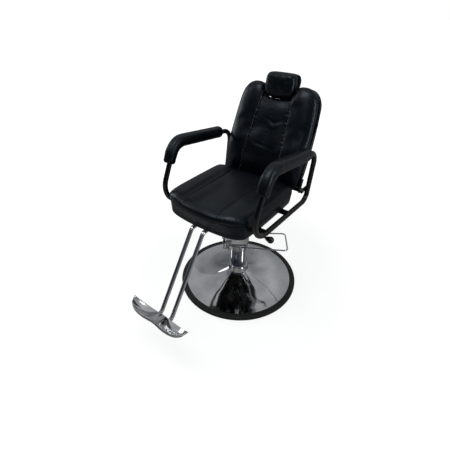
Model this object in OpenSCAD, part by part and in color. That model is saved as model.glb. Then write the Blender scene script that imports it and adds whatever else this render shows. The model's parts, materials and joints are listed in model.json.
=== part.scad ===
// Hydraulic barber chair: round pump base, swivel seat between two tube arm loops,
// reclining back with a sliding headrest, and a fixed T footrest.
// The chair faces -Y, its own left is +X, and the floor under the column is the origin.

/* [Base] */
// Diameter of the base over its edge ring
base_d = 690; // [600:5:760]
// Width of the edge ring, seen from above
ring_w = 31; // [26:1:45]
// Height of the edge ring
ring_h = 20; // [16:1:30]
// Thickness of the spun base cover
cover_t = 2; // [1:0.5:3]
// Height of the cover's hub above the floor
hub_h = 74; // [60:1:90]
// Thickness of the steel floor plate
floor_plate_t = 6; // [4:1:10]
// Height of the trim collar round the column
collar_h = 30; // [20:1:40]

/* [Column] */
// Outer diameter of the column tube
column_d = 94; // [80:1:104]
// Wall of the column tube
column_wall = 7; // [5:0.5:9]
// Height of the column tube's top above the floor
column_top = 376; // [360:1:400]
// Diameter of the ram
ram_d = 40; // [32:1:44]
// How far the chair can go down from where it is drawn
lift_down = 125; // [80:1:125]
// How far the chair can go up from where it is drawn
lift_up = 25; // [10:1:30]
// Height of the guide ring's lower face above the floor
guide_z = 232; // [232:1:250]

/* [Pump head] */
// Outer diameter of the head's housing
head_d = 112; // [110:1:130]
// Height of the guide ring
guide_h = 50; // [35:1:60]
// Thickness of the housing's roof
roof_t = 12; // [11:1:18]
// Direction that the pump lever points in, from the chair's left
lever_turn = 33; // [0:1:80]
// Distance from the column's middle to the foot bar
lever_reach = 270; // [220:1:300]
// Width of the lever over its foot bar
lever_w = 166; // [150:1:190]
// Diameter of the lever's wire
lever_wire = 8; // [6:0.5:9]
// Diameter of the pump plunger
plunger_d = 10; // [8:0.5:12]

/* [Seat] */
// Width of the seat over its welt
seat_w = 472; // [440:1:476]
// Length of the seat from nose to rear
seat_l = 468; // [440:1:480]
// How far the nose stands ahead of the column's middle
seat_front = 350; // [340:1:370]
// Height of the seat's boxing, from the board to the welt
boxing_h = 69; // [50:1:80]
// Rise of the seat's top above its welt
crown_h = 34; // [20:1:40]
// Thickness of the plywood seat board
board_t = 14; // [10:1:18]
// Side of the frame's channel section
rail = 25; // [22:1:30]
// Width of the seat frame
frame_w = 370; // [350:2:400]
// Thickness of the mounting plate
mount_t = 6; // [5:0.5:10]

/* [Arms] */
// Distance of each arm loop from the chair's middle plane
arm_x = 264; // [262:1:280]
// Diameter of the arm tube
arm_tube = 25.4; // [22:0.1:28]
// Wall of the arm tube
arm_wall = 2; // [1.5:0.5:3]
// Height of the arm tube's front corner above the seat frame
arm_rise = 299; // [270:1:320]
// Width of an arm pad
pad_w = 58; // [50:1:64]
// Depth of an arm pad, top to bottom
pad_h = 60; // [52:1:68]

/* [Back] */
// Tilt of the back from upright
back_tilt = 22; // [15:1:25]
// Width of the back cushion at its widest
back_w = 464; // [430:1:464]
// Height of the shoulders along the back, from the pivot
shoulder_u = 486; // [450:1:520]
// Height of the notch between the shoulders, from the pivot
notch_u = 412; // [390:1:420]
// Height of the back pivot above the seat frame
pivot_rise = 39; // [36:1:48]
// Distance of the back pivot behind the column's middle
pivot_y = 203; // [200:1:210]
// Diameter of the pivot bolts
pivot_d = 12; // [10:0.5:14]
// Length of the recline crank
crank_l = 85; // [80:1:90]
// Angle that the back can recline by
recline = 45; // [30:1:50]

/* [Headrest] */
// Width of the headrest cushion
rest_w = 168; // [150:1:170]
// Height of the headrest cushion
rest_h = 122; // [100:1:130]
// How far the headrest slides up
rest_travel = 80; // [40:1:90]

/* [Footrest] */
// Diameter of the footrest tubes
foot_tube = 20; // [18:1:25]
// Distance between the footrest tubes, centre to centre
foot_gap = 67; // [60:1:90]
// Angle of the footrest tubes from upright
foot_lean = 35; // [30:1:40]
// Width of the foot plate
plate_w = 352; // [300:1:380]
// Depth of the foot plate, front to back
plate_l = 78; // [70:1:90]
// Thickness of the foot plate
plate_t = 8; // [6:0.5:10]

/* [Hidden] */
$fn = 64;

// Fits: running fit on a radius, press fit on a radius, and the least gap between moving pieces
run = 0.05;
press = 0.02;
gap = 0.4;

// A bend is this much fuller than the straight runs, which reach this far into it
bend_swell = 0.15;
bend_lap = 1.0;

// Base, from the outside in
base_r = base_d/2;
cover_r = base_r - ring_w;
ledge_w = 14;
ledge_z = ring_h - 3 - cover_t;
floor_plate_top = floor_plate_t;
column_r = column_d/2;
socket_r = column_r + 9;
socket_flange_r = socket_r + 39;
socket_flange_t = 8;
hub_r = socket_r + 10;
socket_bolt_d = 10;
socket_bolt_ring = socket_r + 22;

// Column, ram and head
ram_r = ram_d/2;
bore_r = column_r - column_wall;
gland_flange_t = 6;
gland_depth = 26;
gland_z = column_top - gland_depth;
piston_h = 28;
piston_top = gland_z - lift_up - gap;
piston_z = piston_top - piston_h;
roof_z = column_top + gland_flange_t + lift_down + 7;
roof_top = roof_z + roof_t;
spigot_r = ram_r*0.75;
washer_t = 1.6;
ram_shoulder_z = roof_z - gap - washer_t;
nut_h = 10;
head_z = guide_z + guide_h;
head_r = head_d/2;
mount_bolt_d = 10;
mount_bolt_at = 28;
mount_w = 192;
mount_l = 180;
head_bore_r = column_r + 2;
casting_h = 68;
casting_left = -72;
casting_right = 45;
casting_v = 58;
valve_cap_r = 17;
guide_r = column_r + 3;

// Pump lever, in its own directions: u along the lever, v across it
lever_pivot_u = -55;
lever_pivot_z = head_z - 14;
lever_z = lever_pivot_z + 14;
lever_pin_d = 8;
cheek_t = 5;
eye_t = 5;
eye_v = casting_v + cheek_t + gap;
tail_u = -86;
plunger_z = lever_pivot_z - 6;
plunger_head_h = 6;
barrel_z = head_z + 8;
barrel_h = 55;
spring_wire = 1.6;
spring_turns = 7;

// Seat frame and board
mount_z = roof_top;
frame_z = mount_z + mount_t;
deck_z = frame_z + rail;
rail_wall = 2.5;
frame_front = -230;
frame_rear = 135;
frame_l = frame_rear - frame_front;
board_z = deck_z;
cushion_z = board_z + board_t;
welt_z = cushion_z + boxing_h;
seat_seam_x = 101;
seat_rear = seat_l - seat_front;

// Arm loop corners, each [y, z], and their bend radii
arm_front = -330;
arm_rear = 226;
arm_front_lean = 26;
arm_rear_lean = 9;
arm_bar_front_z = deck_z - 2;
arm_bar_rear_z = deck_z - 19;
arm_front_top_z = deck_z + arm_rise;
arm_rear_top_z = arm_front_top_z - 60;
arm_corners = [[arm_front, arm_bar_front_z],
               [arm_rear, arm_bar_rear_z],
               [arm_rear + tan(arm_rear_lean)*(arm_rear_top_z - arm_bar_rear_z), arm_rear_top_z],
               [arm_front + tan(arm_front_lean)*(arm_front_top_z - arm_bar_front_z), arm_front_top_z]];
arm_radii = [100, 50, 60, 80];
arm_r = arm_tube/2;
function bar_z(y) = arm_bar_front_z
    + (arm_bar_rear_z - arm_bar_front_z)*(y - arm_front)/(arm_rear - arm_front);

// Back, in its own directions: x across, n forward from the pivot, u up along the back
pivot_z = deck_z + pivot_rise;
tab_x = arm_x - arm_r - 6;
tab_t = 6;
ear_t = 6;
ear_l = 58;
back_bar_l = 320;
ear_x = tab_x - 7.3 - ear_t;
bar_w = 30;
bar_t = 12;
bar_n = 10;
board_n = bar_n + bar_t;
back_board_t = 12;
cushion_n = board_n + back_board_t;
back_seam_n = 71;
rear_pad_t = 24;
back_low_u = -4;
rear_low_u = 20;
crank_x = 112.5;
crank_t = 6;

// Headrest, in the back's own directions
rest_low_u = notch_u + 12;
rest_tilt = 12;
rest_board_t = 12;
rest_rim_n = 30;
rest_front_n = 66;
rest_rear_t = 44;
post_reach = 68;
post_w = 25;
post_t = 6;
post_x = 45;
post_n = bar_n + (bar_t - post_t)/2;
guide_l = 145;
guide_top_u = notch_u - 12;

// Gas spring
gas_x = 106;
gas_r = 11;
gas_wall = 2.1;
gas_z = pivot_z - crank_l*cos(recline/2);
gas_front = -170;
gas_end = 60;
gas_rod_r = 5;
gas_pin_r = 4;
crank_pin_r = 5;
crank_y = pivot_y + crank_l*sin(recline/2);
crank_drop = crank_l*(1 - cos(recline/2));

// Release lever of the gas spring
release_y = -158;
release_x = 128;
release_z = gas_z + 22;
release_rod_r = 5;
release_rod_z = deck_z - 47;
knob_x = 282;
knob_r = 16.5;

// Footrest: corners of a tube, each [y, z]
foot_top_y = frame_front;
foot_top_z = deck_z - foot_tube/2 - gap;
foot_knee_y = -340;
foot_drop = 342;
plate_rise = 20;
plate_lip = plate_t + 5;
plate_flat = foot_gap/2 + foot_tube/2 + 19;
foot_radii = [0, 26, 44, 0];
foot_r = foot_tube/2;
plate_rear_y = -600;
plate_rear_z = foot_top_z - foot_drop;

// ---------- helpers ----------

function unit(v) = v/norm(v);
function lerp(a, b, t) = a + (b - a)*t;
function cross2(a, b) = a[0]*b[1] - a[1]*b[0];
function flatten(rows) = [for (row = rows) for (p = row) p];

// Turns a shape that lies in the XY plane into the YZ plane: its x runs to y, its y to z
module in_side_plane() rotate([90, 0, 90]) children();

// Puts the back's own directions in place: x across, y is n forward, z is u up the back
module in_back() translate([0, pivot_y, pivot_z]) rotate([-back_tilt, 0, 0]) mirror([0, 1, 0]) children();

// Puts the lever's own directions in place: x is u along the lever, y is v across it
module in_lever() rotate([0, 0, lever_turn]) children();

// A round bar along X
module bar_x(x0, x1, r) translate([x0, 0, 0]) rotate([0, 90, 0]) cylinder(r = r, h = x1 - x0);

// A round bar along Y
module bar_y(y0, y1, r) translate([0, y0, 0]) rotate([-90, 0, 0]) cylinder(r = r, h = y1 - y0);

// A solid of turned outline, points [radius, height]
module turned(points) rotate_extrude() polygon(points);

// A round bar bent along a path of corners in the XY plane, each corner with its bend radius
module bent_bar(path, radii, r, closed) {
    n = len(path);
    function turn(i) = let (a = unit(path[i] - path[(i + n - 1) % n]),
                            b = unit(path[(i + 1) % n] - path[i]))
        atan2(cross2(a, b), a*b);
    function is_end(i) = !closed && (i == 0 || i == n - 1);
    function tangent(i) = is_end(i) ? 0 : radii[i]*tan(abs(turn(i))/2);
    for (i = [0 : n - (closed ? 1 : 2)]) {
        j = (i + 1) % n;
        along = unit(path[j] - path[i]);
        before = is_end(i) ? 0 : bend_lap;
        after = is_end(j) ? 0 : bend_lap;
        start = path[i] + along*(tangent(i) - before);
        length = norm(path[j] - path[i]) - tangent(i) - tangent(j) + before + after;
        translate(start) rotate([0, 0, atan2(along[1], along[0])]) rotate([0, 90, 0])
            cylinder(r = r, h = length);
    }
    for (i = [0 : n - 1]) if (!is_end(i)) {
        into = unit(path[i] - path[(i + n - 1) % n]);
        out = unit(path[(i + 1) % n] - path[i]);
        side = turn(i) > 0 ? 1 : -1;
        begin = path[i] - into*tangent(i);
        middle = begin + side*radii[i]*[-into[1], into[0]];
        first = side > 0 ? begin - middle : path[i] + out*tangent(i) - middle;
        translate(middle) rotate([0, 0, atan2(first[1], first[0])])
            rotate_extrude(angle = abs(turn(i))) translate([radii[i], 0]) circle(r = r + bend_swell);
    }
}

// A closed solid between two equal grids of points, with rings of points round its rim
module slab(top, rim, bottom) {
    rows = len(top);
    cols = len(top[0]);
    n = rows*cols;
    loop = concat([for (j = [0 : cols - 2]) [0, j]], [for (i = [0 : rows - 2]) [i, cols - 1]],
                  [for (j = [cols - 1 : -1 : 1]) [rows - 1, j]], [for (i = [rows - 1 : -1 : 1]) [i, 0]]);
    m = len(loop);
    rings = len(rim);
    points = concat(flatten(top), flatten(rim), flatten(bottom));
    base = n + rings*m;
    function ring_at(k, q) = k == 0 ? loop[q % m][0]*cols + loop[q % m][1]
        : k > rings ? base + loop[q % m][0]*cols + loop[q % m][1] : n + (k - 1)*m + q % m;
    faces = concat(
        [for (i = [0 : rows - 2]) for (j = [0 : cols - 2]) let (a = i*cols + j)
            each [[a, a + cols, a + cols + 1], [a, a + cols + 1, a + 1]]],
        [for (i = [0 : rows - 2]) for (j = [0 : cols - 2]) let (a = base + i*cols + j)
            each [[a, a + cols + 1, a + cols], [a, a + 1, a + cols + 1]]],
        [for (k = [0 : rings]) for (q = [0 : m - 1]) let (a = ring_at(k, q), b = ring_at(k, q + 1),
            c = ring_at(k + 1, q), d = ring_at(k + 1, q + 1)) each [[a, b, d], [a, d, c]]]);
    polyhedron(points, faces);
}

// The rim of a grid as one ring of points, in the order that slab() uses
function rim_of(grid) = let (rows = len(grid), cols = len(grid[0])) concat(
    [for (j = [0 : cols - 2]) grid[0][j]], [for (i = [0 : rows - 2]) grid[i][cols - 1]],
    [for (j = [cols - 1 : -1 : 1]) grid[rows - 1][j]], [for (i = [rows - 1 : -1 : 1]) grid[i][0]]);

// Steps from 0 to 1 that crowd towards 1
function crowd(n) = [for (i = [0 : n]) sin(90*i/n)];

// Steps from -1 to 1 that crowd towards both ends
function crowd_both(n) = [for (i = [0 : n]) -cos(180*i/n)];

// Falls from 1 in the middle to 0 at both ends, with a round shoulder
function shoulder(s, p) = pow(max(0, 1 - pow(abs(s), p)), 0.5);

// ---------- base ----------

// Height of the cover's outside at a radius: nearly flat at the edge, flaring up to the hub
function cover_z(r) = ledge_z + cover_t
    + (hub_h - ledge_z - cover_t)*pow((cover_r - r)/(cover_r - hub_r), 2.2);

module base_cover() color("gainsboro") {
    steps = 16;
    outside = [for (i = [0 : steps]) let (r = lerp(cover_r, hub_r, i/steps)) [r, cover_z(r)]];
    hub_hole = socket_r + 2;
    turned(concat(outside, [[hub_hole, hub_h], [hub_hole, hub_h - cover_t]],
                  [for (i = [steps : -1 : 0]) outside[i] - [0, cover_t]]));
}

module edge_ring() color([0.12, 0.12, 0.13]) {
    inner = cover_r - ledge_w;
    turned([[inner, 0], [base_r - 2, 0], [base_r, 2], [base_r, ring_h - 7], [base_r - 3, ring_h - 2],
            [base_r - 8, ring_h], [cover_r + 1.5, ring_h], [cover_r + gap, ring_h - 1.5],
            [cover_r + gap, ledge_z], [inner, ledge_z]]);
}

module floor_plate() color([0.25, 0.25, 0.26]) difference() {
    cylinder(r = cover_r - ledge_w - press, h = floor_plate_t);
    at_socket_bolts() translate([0, 0, -1])
        cylinder(d = socket_bolt_d + 2*press, h = floor_plate_t + 2);
}

module at_socket_bolts() for (a = [0 : 60 : 300])
    rotate([0, 0, a]) translate([socket_bolt_ring, 0, 0]) children();

module column_socket() color([0.3, 0.3, 0.32]) difference() {
    translate([0, 0, floor_plate_top]) {
        cylinder(r = socket_flange_r, h = socket_flange_t);
        cylinder(r = socket_r, h = hub_h - cover_t - 6 - floor_plate_top);
    }
    translate([0, 0, floor_plate_top - 1]) cylinder(r = column_r + press, h = hub_h);
    at_socket_bolts() translate([0, 0, floor_plate_top - 1]) cylinder(d = socket_bolt_d + 1, h = socket_flange_t + 2);
}

module socket_bolts() color([0.55, 0.55, 0.57]) at_socket_bolts() {
    translate([0, 0, 1]) cylinder(d = socket_bolt_d, h = floor_plate_t + socket_flange_t - 1);
    translate([0, 0, floor_plate_top + socket_flange_t]) cylinder(d = socket_bolt_d*1.7, h = 6.4, $fn = 6);
}

module hub_collar() color("silver") {
    inner = column_r + 0.5;
    turned([[inner, hub_h], [hub_r, hub_h], [hub_r + 0.8, hub_h + 1.5], [hub_r, hub_h + 3],
            [hub_r - 6, hub_h + 6], [column_r + 6, hub_h + collar_h - 6], [column_r + 4.5, hub_h + collar_h - 1.5],
            [column_r + 3, hub_h + collar_h], [inner, hub_h + collar_h]]);
}

// ---------- column and ram ----------

module column_tube() color("silver") difference() {
    translate([0, 0, floor_plate_top]) cylinder(r = column_r, h = column_top - floor_plate_top);
    translate([0, 0, floor_plate_top + 10]) cylinder(r = bore_r, h = column_top);
}

module column_gland() color([0.45, 0.45, 0.47]) difference() {
    union() {
        translate([0, 0, gland_z]) cylinder(r = bore_r - press, h = gland_depth);
        translate([0, 0, column_top]) cylinder(r = column_r, h = gland_flange_t);
    }
    translate([0, 0, gland_z - 1]) cylinder(r = ram_r + run, h = gland_depth + gland_flange_t + 2);
}

module ram() color("whitesmoke") {
    translate([0, 0, piston_z - 6]) cylinder(r = ram_r, h = ram_shoulder_z - piston_z + 6);
    translate([0, 0, ram_shoulder_z]) cylinder(r = spigot_r, h = roof_top + gap - ram_shoulder_z);
    translate([0, 0, roof_top + gap]) cylinder(r = spigot_r - 3, h = nut_h + 2);
}

module piston() color([0.5, 0.5, 0.52]) difference() {
    translate([0, 0, piston_z]) cylinder(r = bore_r - run, h = piston_h);
    translate([0, 0, piston_z - 1]) cylinder(r = ram_r + press, h = piston_h + 2);
    translate([0, 0, piston_z + piston_h/2 - 4]) difference() {
        cylinder(r = bore_r + 1, h = 8);
        translate([0, 0, -1]) cylinder(r = bore_r - 4, h = 10);
    }
}

module piston_seal() color([0.1, 0.1, 0.1]) translate([0, 0, piston_z + piston_h/2 - 4]) difference() {
    cylinder(r = bore_r - run, h = 8);
    translate([0, 0, -1]) cylinder(r = bore_r - 4 + press, h = 10);
}

module thrust_washer() color("goldenrod") translate([0, 0, ram_shoulder_z]) difference() {
    cylinder(r = ram_r + 4, h = washer_t);
    translate([0, 0, -1]) cylinder(r = spigot_r + press, h = washer_t + 2);
}

module ram_nut() color([0.55, 0.55, 0.57]) translate([0, 0, roof_top + gap]) difference() {
    cylinder(r = spigot_r + 7, h = nut_h, $fn = 6);
    translate([0, 0, -1]) cylinder(r = spigot_r - 3 + press, h = nut_h + 2);
}

// ---------- pump head and lever ----------

module pump_head() color([0.72, 0.73, 0.75]) difference() {
    union() {
        translate([0, 0, head_z]) cylinder(r = head_r, h = roof_top - head_z);
        in_lever() {
            translate([casting_left, -casting_v, head_z])
                cube([casting_right - casting_left, 2*casting_v, casting_h]);
            translate([tail_u, 0, barrel_z]) cylinder(r = plunger_d/2 + 7, h = barrel_h);
            translate([tail_u, -plunger_d/2 - 3, barrel_z]) cube([casting_left - tail_u + 5, plunger_d + 6, barrel_h]);
        }
    }
    translate([0, 0, head_z - 1]) cylinder(r = head_bore_r, h = roof_z - head_z + 1);
    translate([0, 0, roof_z - 1]) cylinder(r = spigot_r + run, h = roof_t + 2);
    in_lever() {
        translate([tail_u, 0, barrel_z - 1]) cylinder(d = plunger_d + 2*run, h = barrel_h - 5);
    }
    at_mount_bolts() translate([0, 0, roof_z - 1]) cylinder(d = mount_bolt_d + 2*press, h = roof_t + 2);
}

module guide_ring() color("whitesmoke") translate([0, 0, guide_z]) difference() {
    cylinder(r = guide_r, h = guide_h);
    translate([0, 0, -1]) cylinder(r = column_r + run, h = guide_h + 2);
}

module valve_cap() color("silver") in_lever() translate([0, -casting_v, head_z + casting_h - 23]) rotate([90, 0, 0]) {
    cylinder(r = valve_cap_r, h = 4);
    translate([0, 0, 4]) cylinder(r1 = valve_cap_r - 3, r2 = valve_cap_r - 6, h = 5);
}

module lever_bracket() color("silver") in_lever() for (side = [-1, 1]) difference() {
    translate([casting_left, side > 0 ? casting_v : -casting_v - cheek_t, lever_pivot_z - 14])
        cube([32, cheek_t, 62]);
    translate([lever_pivot_u, 0, lever_pivot_z]) bar_y(-casting_v - 20, casting_v + 20, lever_pin_d/2 + press);
}

// Two shoulder bolts that the lever turns on
module lever_bolts() color([0.6, 0.6, 0.62]) in_lever() translate([lever_pivot_u, 0, lever_pivot_z])
    for (side = [0, 1]) mirror([0, side, 0]) {
        bar_y(casting_v, eye_v + eye_t + gap, lever_pin_d/2);
        bar_y(eye_v + eye_t + gap, eye_v + eye_t + gap + 5, 7);
    }

module pump_lever() color("silver") in_lever() {
    wire_r = lever_wire/2;
    arm_v = eye_v + eye_t/2;
    end_v = lever_w/2 - wire_r;
    end_u = lever_reach;
    difference() {
        union() {
            for (side = [-1, 1]) translate([lever_pivot_u, side > 0 ? eye_v : -eye_v - eye_t, lever_pivot_z]) {
                bar_y(0, eye_t, 11);
                translate([0, 0, -4]) cube([22, eye_t, 4 + lever_z - lever_pivot_z + wire_r]);
                translate([tail_u - lever_pivot_u - 5, 0, -21]) cube([10, eye_t, 14]);
                translate([tail_u - lever_pivot_u, 0, -11]) cube([lever_pivot_u - tail_u, eye_t, 11]);
            }
            translate([tail_u, 0, plunger_z - plunger_head_h - gap - 5]) bar_y(-eye_v - 1, eye_v + 1, 5);
        }
        translate([lever_pivot_u, 0, lever_pivot_z]) bar_y(-eye_v - 20, eye_v + 20, lever_pin_d/2 + run);
    }
    translate([0, 0, lever_z]) bent_bar([[lever_pivot_u + 18, -arm_v], [end_u, -end_v], [end_u - 3, end_v],
        [lever_pivot_u + 18, arm_v]], [0, 20, 20, 0], wire_r, false);
}

module plunger() color([0.6, 0.6, 0.62]) in_lever() translate([tail_u, 0, plunger_z]) {
    cylinder(d = plunger_d, h = barrel_z - plunger_z + 30);
    translate([0, 0, -plunger_head_h]) cylinder(r = plunger_d/2 + 5, h = plunger_head_h);
}

// Return spring between the plunger's head and the barrel, one unbroken tube
module plunger_spring() {
    coil_r = plunger_d/2 + spring_wire/2 + 0.7;
    wire_r = spring_wire/2;
    low = plunger_z + wire_r;
    high = barrel_z - wire_r;
    per_turn = 10;
    sides = 6;
    steps = spring_turns*per_turn;
    pitch = (high - low)/spring_turns;
    function centre(k) = [coil_r*cos(360*k/per_turn), coil_r*sin(360*k/per_turn), low + pitch*k/per_turn];
    points = [for (k = [0 : steps]) for (j = [0 : sides - 1]) let (a = 360*k/per_turn, b = 360*j/sides)
        [(coil_r + wire_r*cos(b))*cos(a), (coil_r + wire_r*cos(b))*sin(a), low + pitch*k/per_turn + wire_r*sin(b)]];
    faces = concat([[for (j = [0 : sides - 1]) j]], [[for (j = [sides - 1 : -1 : 0]) steps*sides + j]],
        [for (k = [0 : steps - 1]) for (j = [0 : sides - 1]) let (a = k*sides + j, b = k*sides + (j + 1) % sides)
            each [[a, a + sides, b], [b, a + sides, b + sides]]]);
    least = min([for (k = [0 : steps - per_turn]) norm(centre(k + per_turn) - centre(k))]) - spring_wire;
    echo(plunger_spring_least_gap = least);
    color([0.5, 0.5, 0.52]) in_lever() translate([tail_u, 0, 0]) polyhedron(points, faces);
}

// ---------- seat ----------

module at_mount_bolts() for (x = [-1, 1]) for (y = [-1, 1])
    translate([x*mount_bolt_at, y*mount_bolt_at, 0]) children();

module mount_plate() color([0.16, 0.16, 0.17]) translate([0, 0, mount_z]) difference() {
    translate([-mount_w/2, -mount_l/2, 0]) cube([mount_w, mount_l, mount_t]);
    translate([0, 0, -1]) cylinder(r = spigot_r + 11, h = mount_t + 2);
    at_mount_bolts() translate([0, 0, -1]) cylinder(d = mount_bolt_d + 1, h = mount_t + 2);
}

module mount_bolts() color([0.55, 0.55, 0.57]) at_mount_bolts() {
    translate([0, 0, roof_z + 1]) cylinder(d = mount_bolt_d, h = roof_t - 1 + mount_t);
    translate([0, 0, mount_z + mount_t]) cylinder(d = mount_bolt_d*1.7, h = 6.4, $fn = 6);
}

module rails() {
    inner = frame_w/2 - rail;
    for (side = [0, 1]) mirror([side, 0, 0]) translate([inner, frame_front, 0]) children(0);
    for (y = [frame_front, -80, 55, frame_rear - rail]) translate([-inner - 1, y, 0]) children(1);
}

module seat_frame() color([0.1, 0.1, 0.11]) translate([0, 0, frame_z]) difference() {
    cross = frame_w - 2*rail + 2;
    rails() {
        cube([rail, frame_l, rail]);
        cube([cross, rail, rail]);
    }
    translate([0, 0, -1]) rails() {
        translate([rail_wall, rail_wall, 0]) cube([rail - 2*rail_wall, frame_l - 2*rail_wall, rail + 1 - rail_wall]);
        translate([rail_wall + 1, rail_wall, 0])
            cube([cross - 2*rail_wall - 2, rail - 2*rail_wall, rail + 1 - rail_wall]);
    }
}

// Plan of the seat: s across from -1 to 1, t from 0 at the nose to 1 at the rear, and k from 0 at
// the welt to 1 at the board, where the corners are squarer and the nose is tucked in
seat_tuck = 21;
seat_bow = 50;
board_bow = 24;
function seat_half(t, k) = seat_w/2*(1 - lerp(0.05, 0.04, k)*pow(1 - t, 9) - 0.015*pow(t, 6));
function seat_nose(s, k) = seat_tuck*k - seat_front + lerp(seat_bow, board_bow, k)*s*s + lerp(16, 26, k)*pow(abs(s), 9);
function seat_at(s, t, side, k) = [s*(seat_half(t, k) - side), lerp(seat_nose(s, k), seat_rear - side, t), 0];

// Columns of the seat's grid, with three close ones at each seam
seat_s_seam = seat_seam_x/(seat_w/2);
seat_half_cols = concat([0, 0.5*seat_s_seam, 0.86*seat_s_seam, seat_s_seam, 1.14*seat_s_seam],
    [for (a = crowd(6)) if (a > 0.2) lerp(1.14*seat_s_seam, 1, a)]);
seat_cols = concat([for (i = [len(seat_half_cols) - 1 : -1 : 1]) -seat_half_cols[i]], seat_half_cols);
seat_rows = [for (a = crowd_both(13)) (a + 1)/2];

// Height of the crown: round at the rim, sunk at the two seams
function seat_crown(s, t) = let (
    edge = shoulder(s, 7)*shoulder(2*t - 1, t < 0.5 ? 9 : 14),
    panel = abs(s) < seat_s_seam ? cos(90*s/seat_s_seam)
          : sin(180*pow((abs(s) - seat_s_seam)/(1 - seat_s_seam), 0.8)))
    edge*(crown_h - 8 + 8*panel*shoulder(2*t - 1, 4));

module seat_cushion() {
    top = [for (t = seat_rows) [for (s = seat_cols) seat_at(s, t, 0, 0) + [0, 0, welt_z + seat_crown(s, t)]]];
    function level(side, k, z) = [for (t = seat_rows) [for (s = seat_cols) seat_at(s, t, side, k) + [0, 0, z]]];
    rim = [rim_of(level(1, 0.1, welt_z - 6)), rim_of(level(2, 0.4, welt_z - boxing_h*0.4)),
           rim_of(level(3, 0.8, cushion_z + boxing_h*0.25))];
    color([0.09, 0.09, 0.1]) slab(top, rim, level(6, 1, cushion_z));
}

module seat_board() color("burlywood") translate([0, 0, board_z]) linear_extrude(board_t)
    polygon([for (p = rim_of([for (t = [0, 0.03, 0.08, 0.2, 0.5, 1])
        [for (s = crowd_both(18)) seat_at(s, t, 8, 1)]]))
        [p[0], p[1]]]);

// Flat bars from the frame out to each loop's lower bar
bracket_at = [-175, 40];
module seat_brackets() color([0.1, 0.1, 0.11]) for (side = [0, 1]) mirror([side, 0, 0])
    for (y = bracket_at) difference() {
        translate([frame_w/2, y - 20, bar_z(y) - 3]) cube([arm_x - frame_w/2, 40, 6]);
        loop_side(0, arm_r + 0.1);
    }

// ---------- arms ----------

module loop_bar(r) translate([arm_x, 0, 0]) in_side_plane() bent_bar(arm_corners, arm_radii, r, true);

// One whole side of the loop as a straight bar, between corners i and i + 1
module loop_side(i, r) translate([arm_x, 0, 0]) in_side_plane() bent_bar([arm_corners[i], arm_corners[i + 1]], [0, 0], r, false);

module arm_loop() difference() {
    loop_bar(arm_r);
    loop_bar(arm_r - arm_wall);
    translate([arm_x, 120, bar_z(120) - arm_r - 1]) cylinder(d = 6, h = arm_r);
}

module arm_loop_left() color([0.08, 0.08, 0.09]) arm_loop();
module arm_loop_right() color([0.08, 0.08, 0.09]) mirror([1, 0, 0]) arm_loop();

// The pad's middle line follows the tube: up the front, round the corner, back along the top
pad_front_l = 44;
pad_ease = 1.3;
pad_top_l = 292;
pad_corner = arm_corners[3];
pad_up = unit(arm_corners[3] - arm_corners[0]);
pad_back = unit(arm_corners[2] - arm_corners[3]);
pad_turn = acos(pad_up*pad_back);
pad_bend_r = arm_radii[3];
pad_tangent = pad_bend_r*tan(pad_turn/2);
pad_bend_start = pad_corner - pad_up*pad_tangent;
pad_bend_mid = pad_bend_start + pad_bend_r*[pad_up[1], -pad_up[0]];
pad_arc_l = pad_bend_r*pad_turn*PI/180;
pad_l = pad_front_l + pad_arc_l + pad_top_l;
function pad_angle(d) = d < pad_front_l ? 0 : d > pad_front_l + pad_arc_l ? pad_turn
    : (d - pad_front_l)/pad_arc_l*pad_turn;
function turned_by(v, a) = [v[0]*cos(a) + v[1]*sin(a), -v[0]*sin(a) + v[1]*cos(a)];
function pad_point(d) = d < pad_front_l ? pad_bend_start - pad_up*(pad_front_l - d)
    : pad_bend_mid + turned_by(pad_bend_start - pad_bend_mid, pad_angle(d))
      + (d > pad_front_l + pad_arc_l ? pad_back*(d - pad_front_l - pad_arc_l) : [0, 0]);
pad_stations = [0, 0.012, 0.035, 0.09, 0.14, 0.19, 0.235, 0.28, 0.325, 0.37, 0.43, 0.52, 0.64, 0.76, 0.88, 0.965, 0.99, 1];
function pad_swell(q) = 0.84 + 0.16*shoulder(2*q - 1, 24) - 0.07*pow(1 - q, 6);

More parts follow.
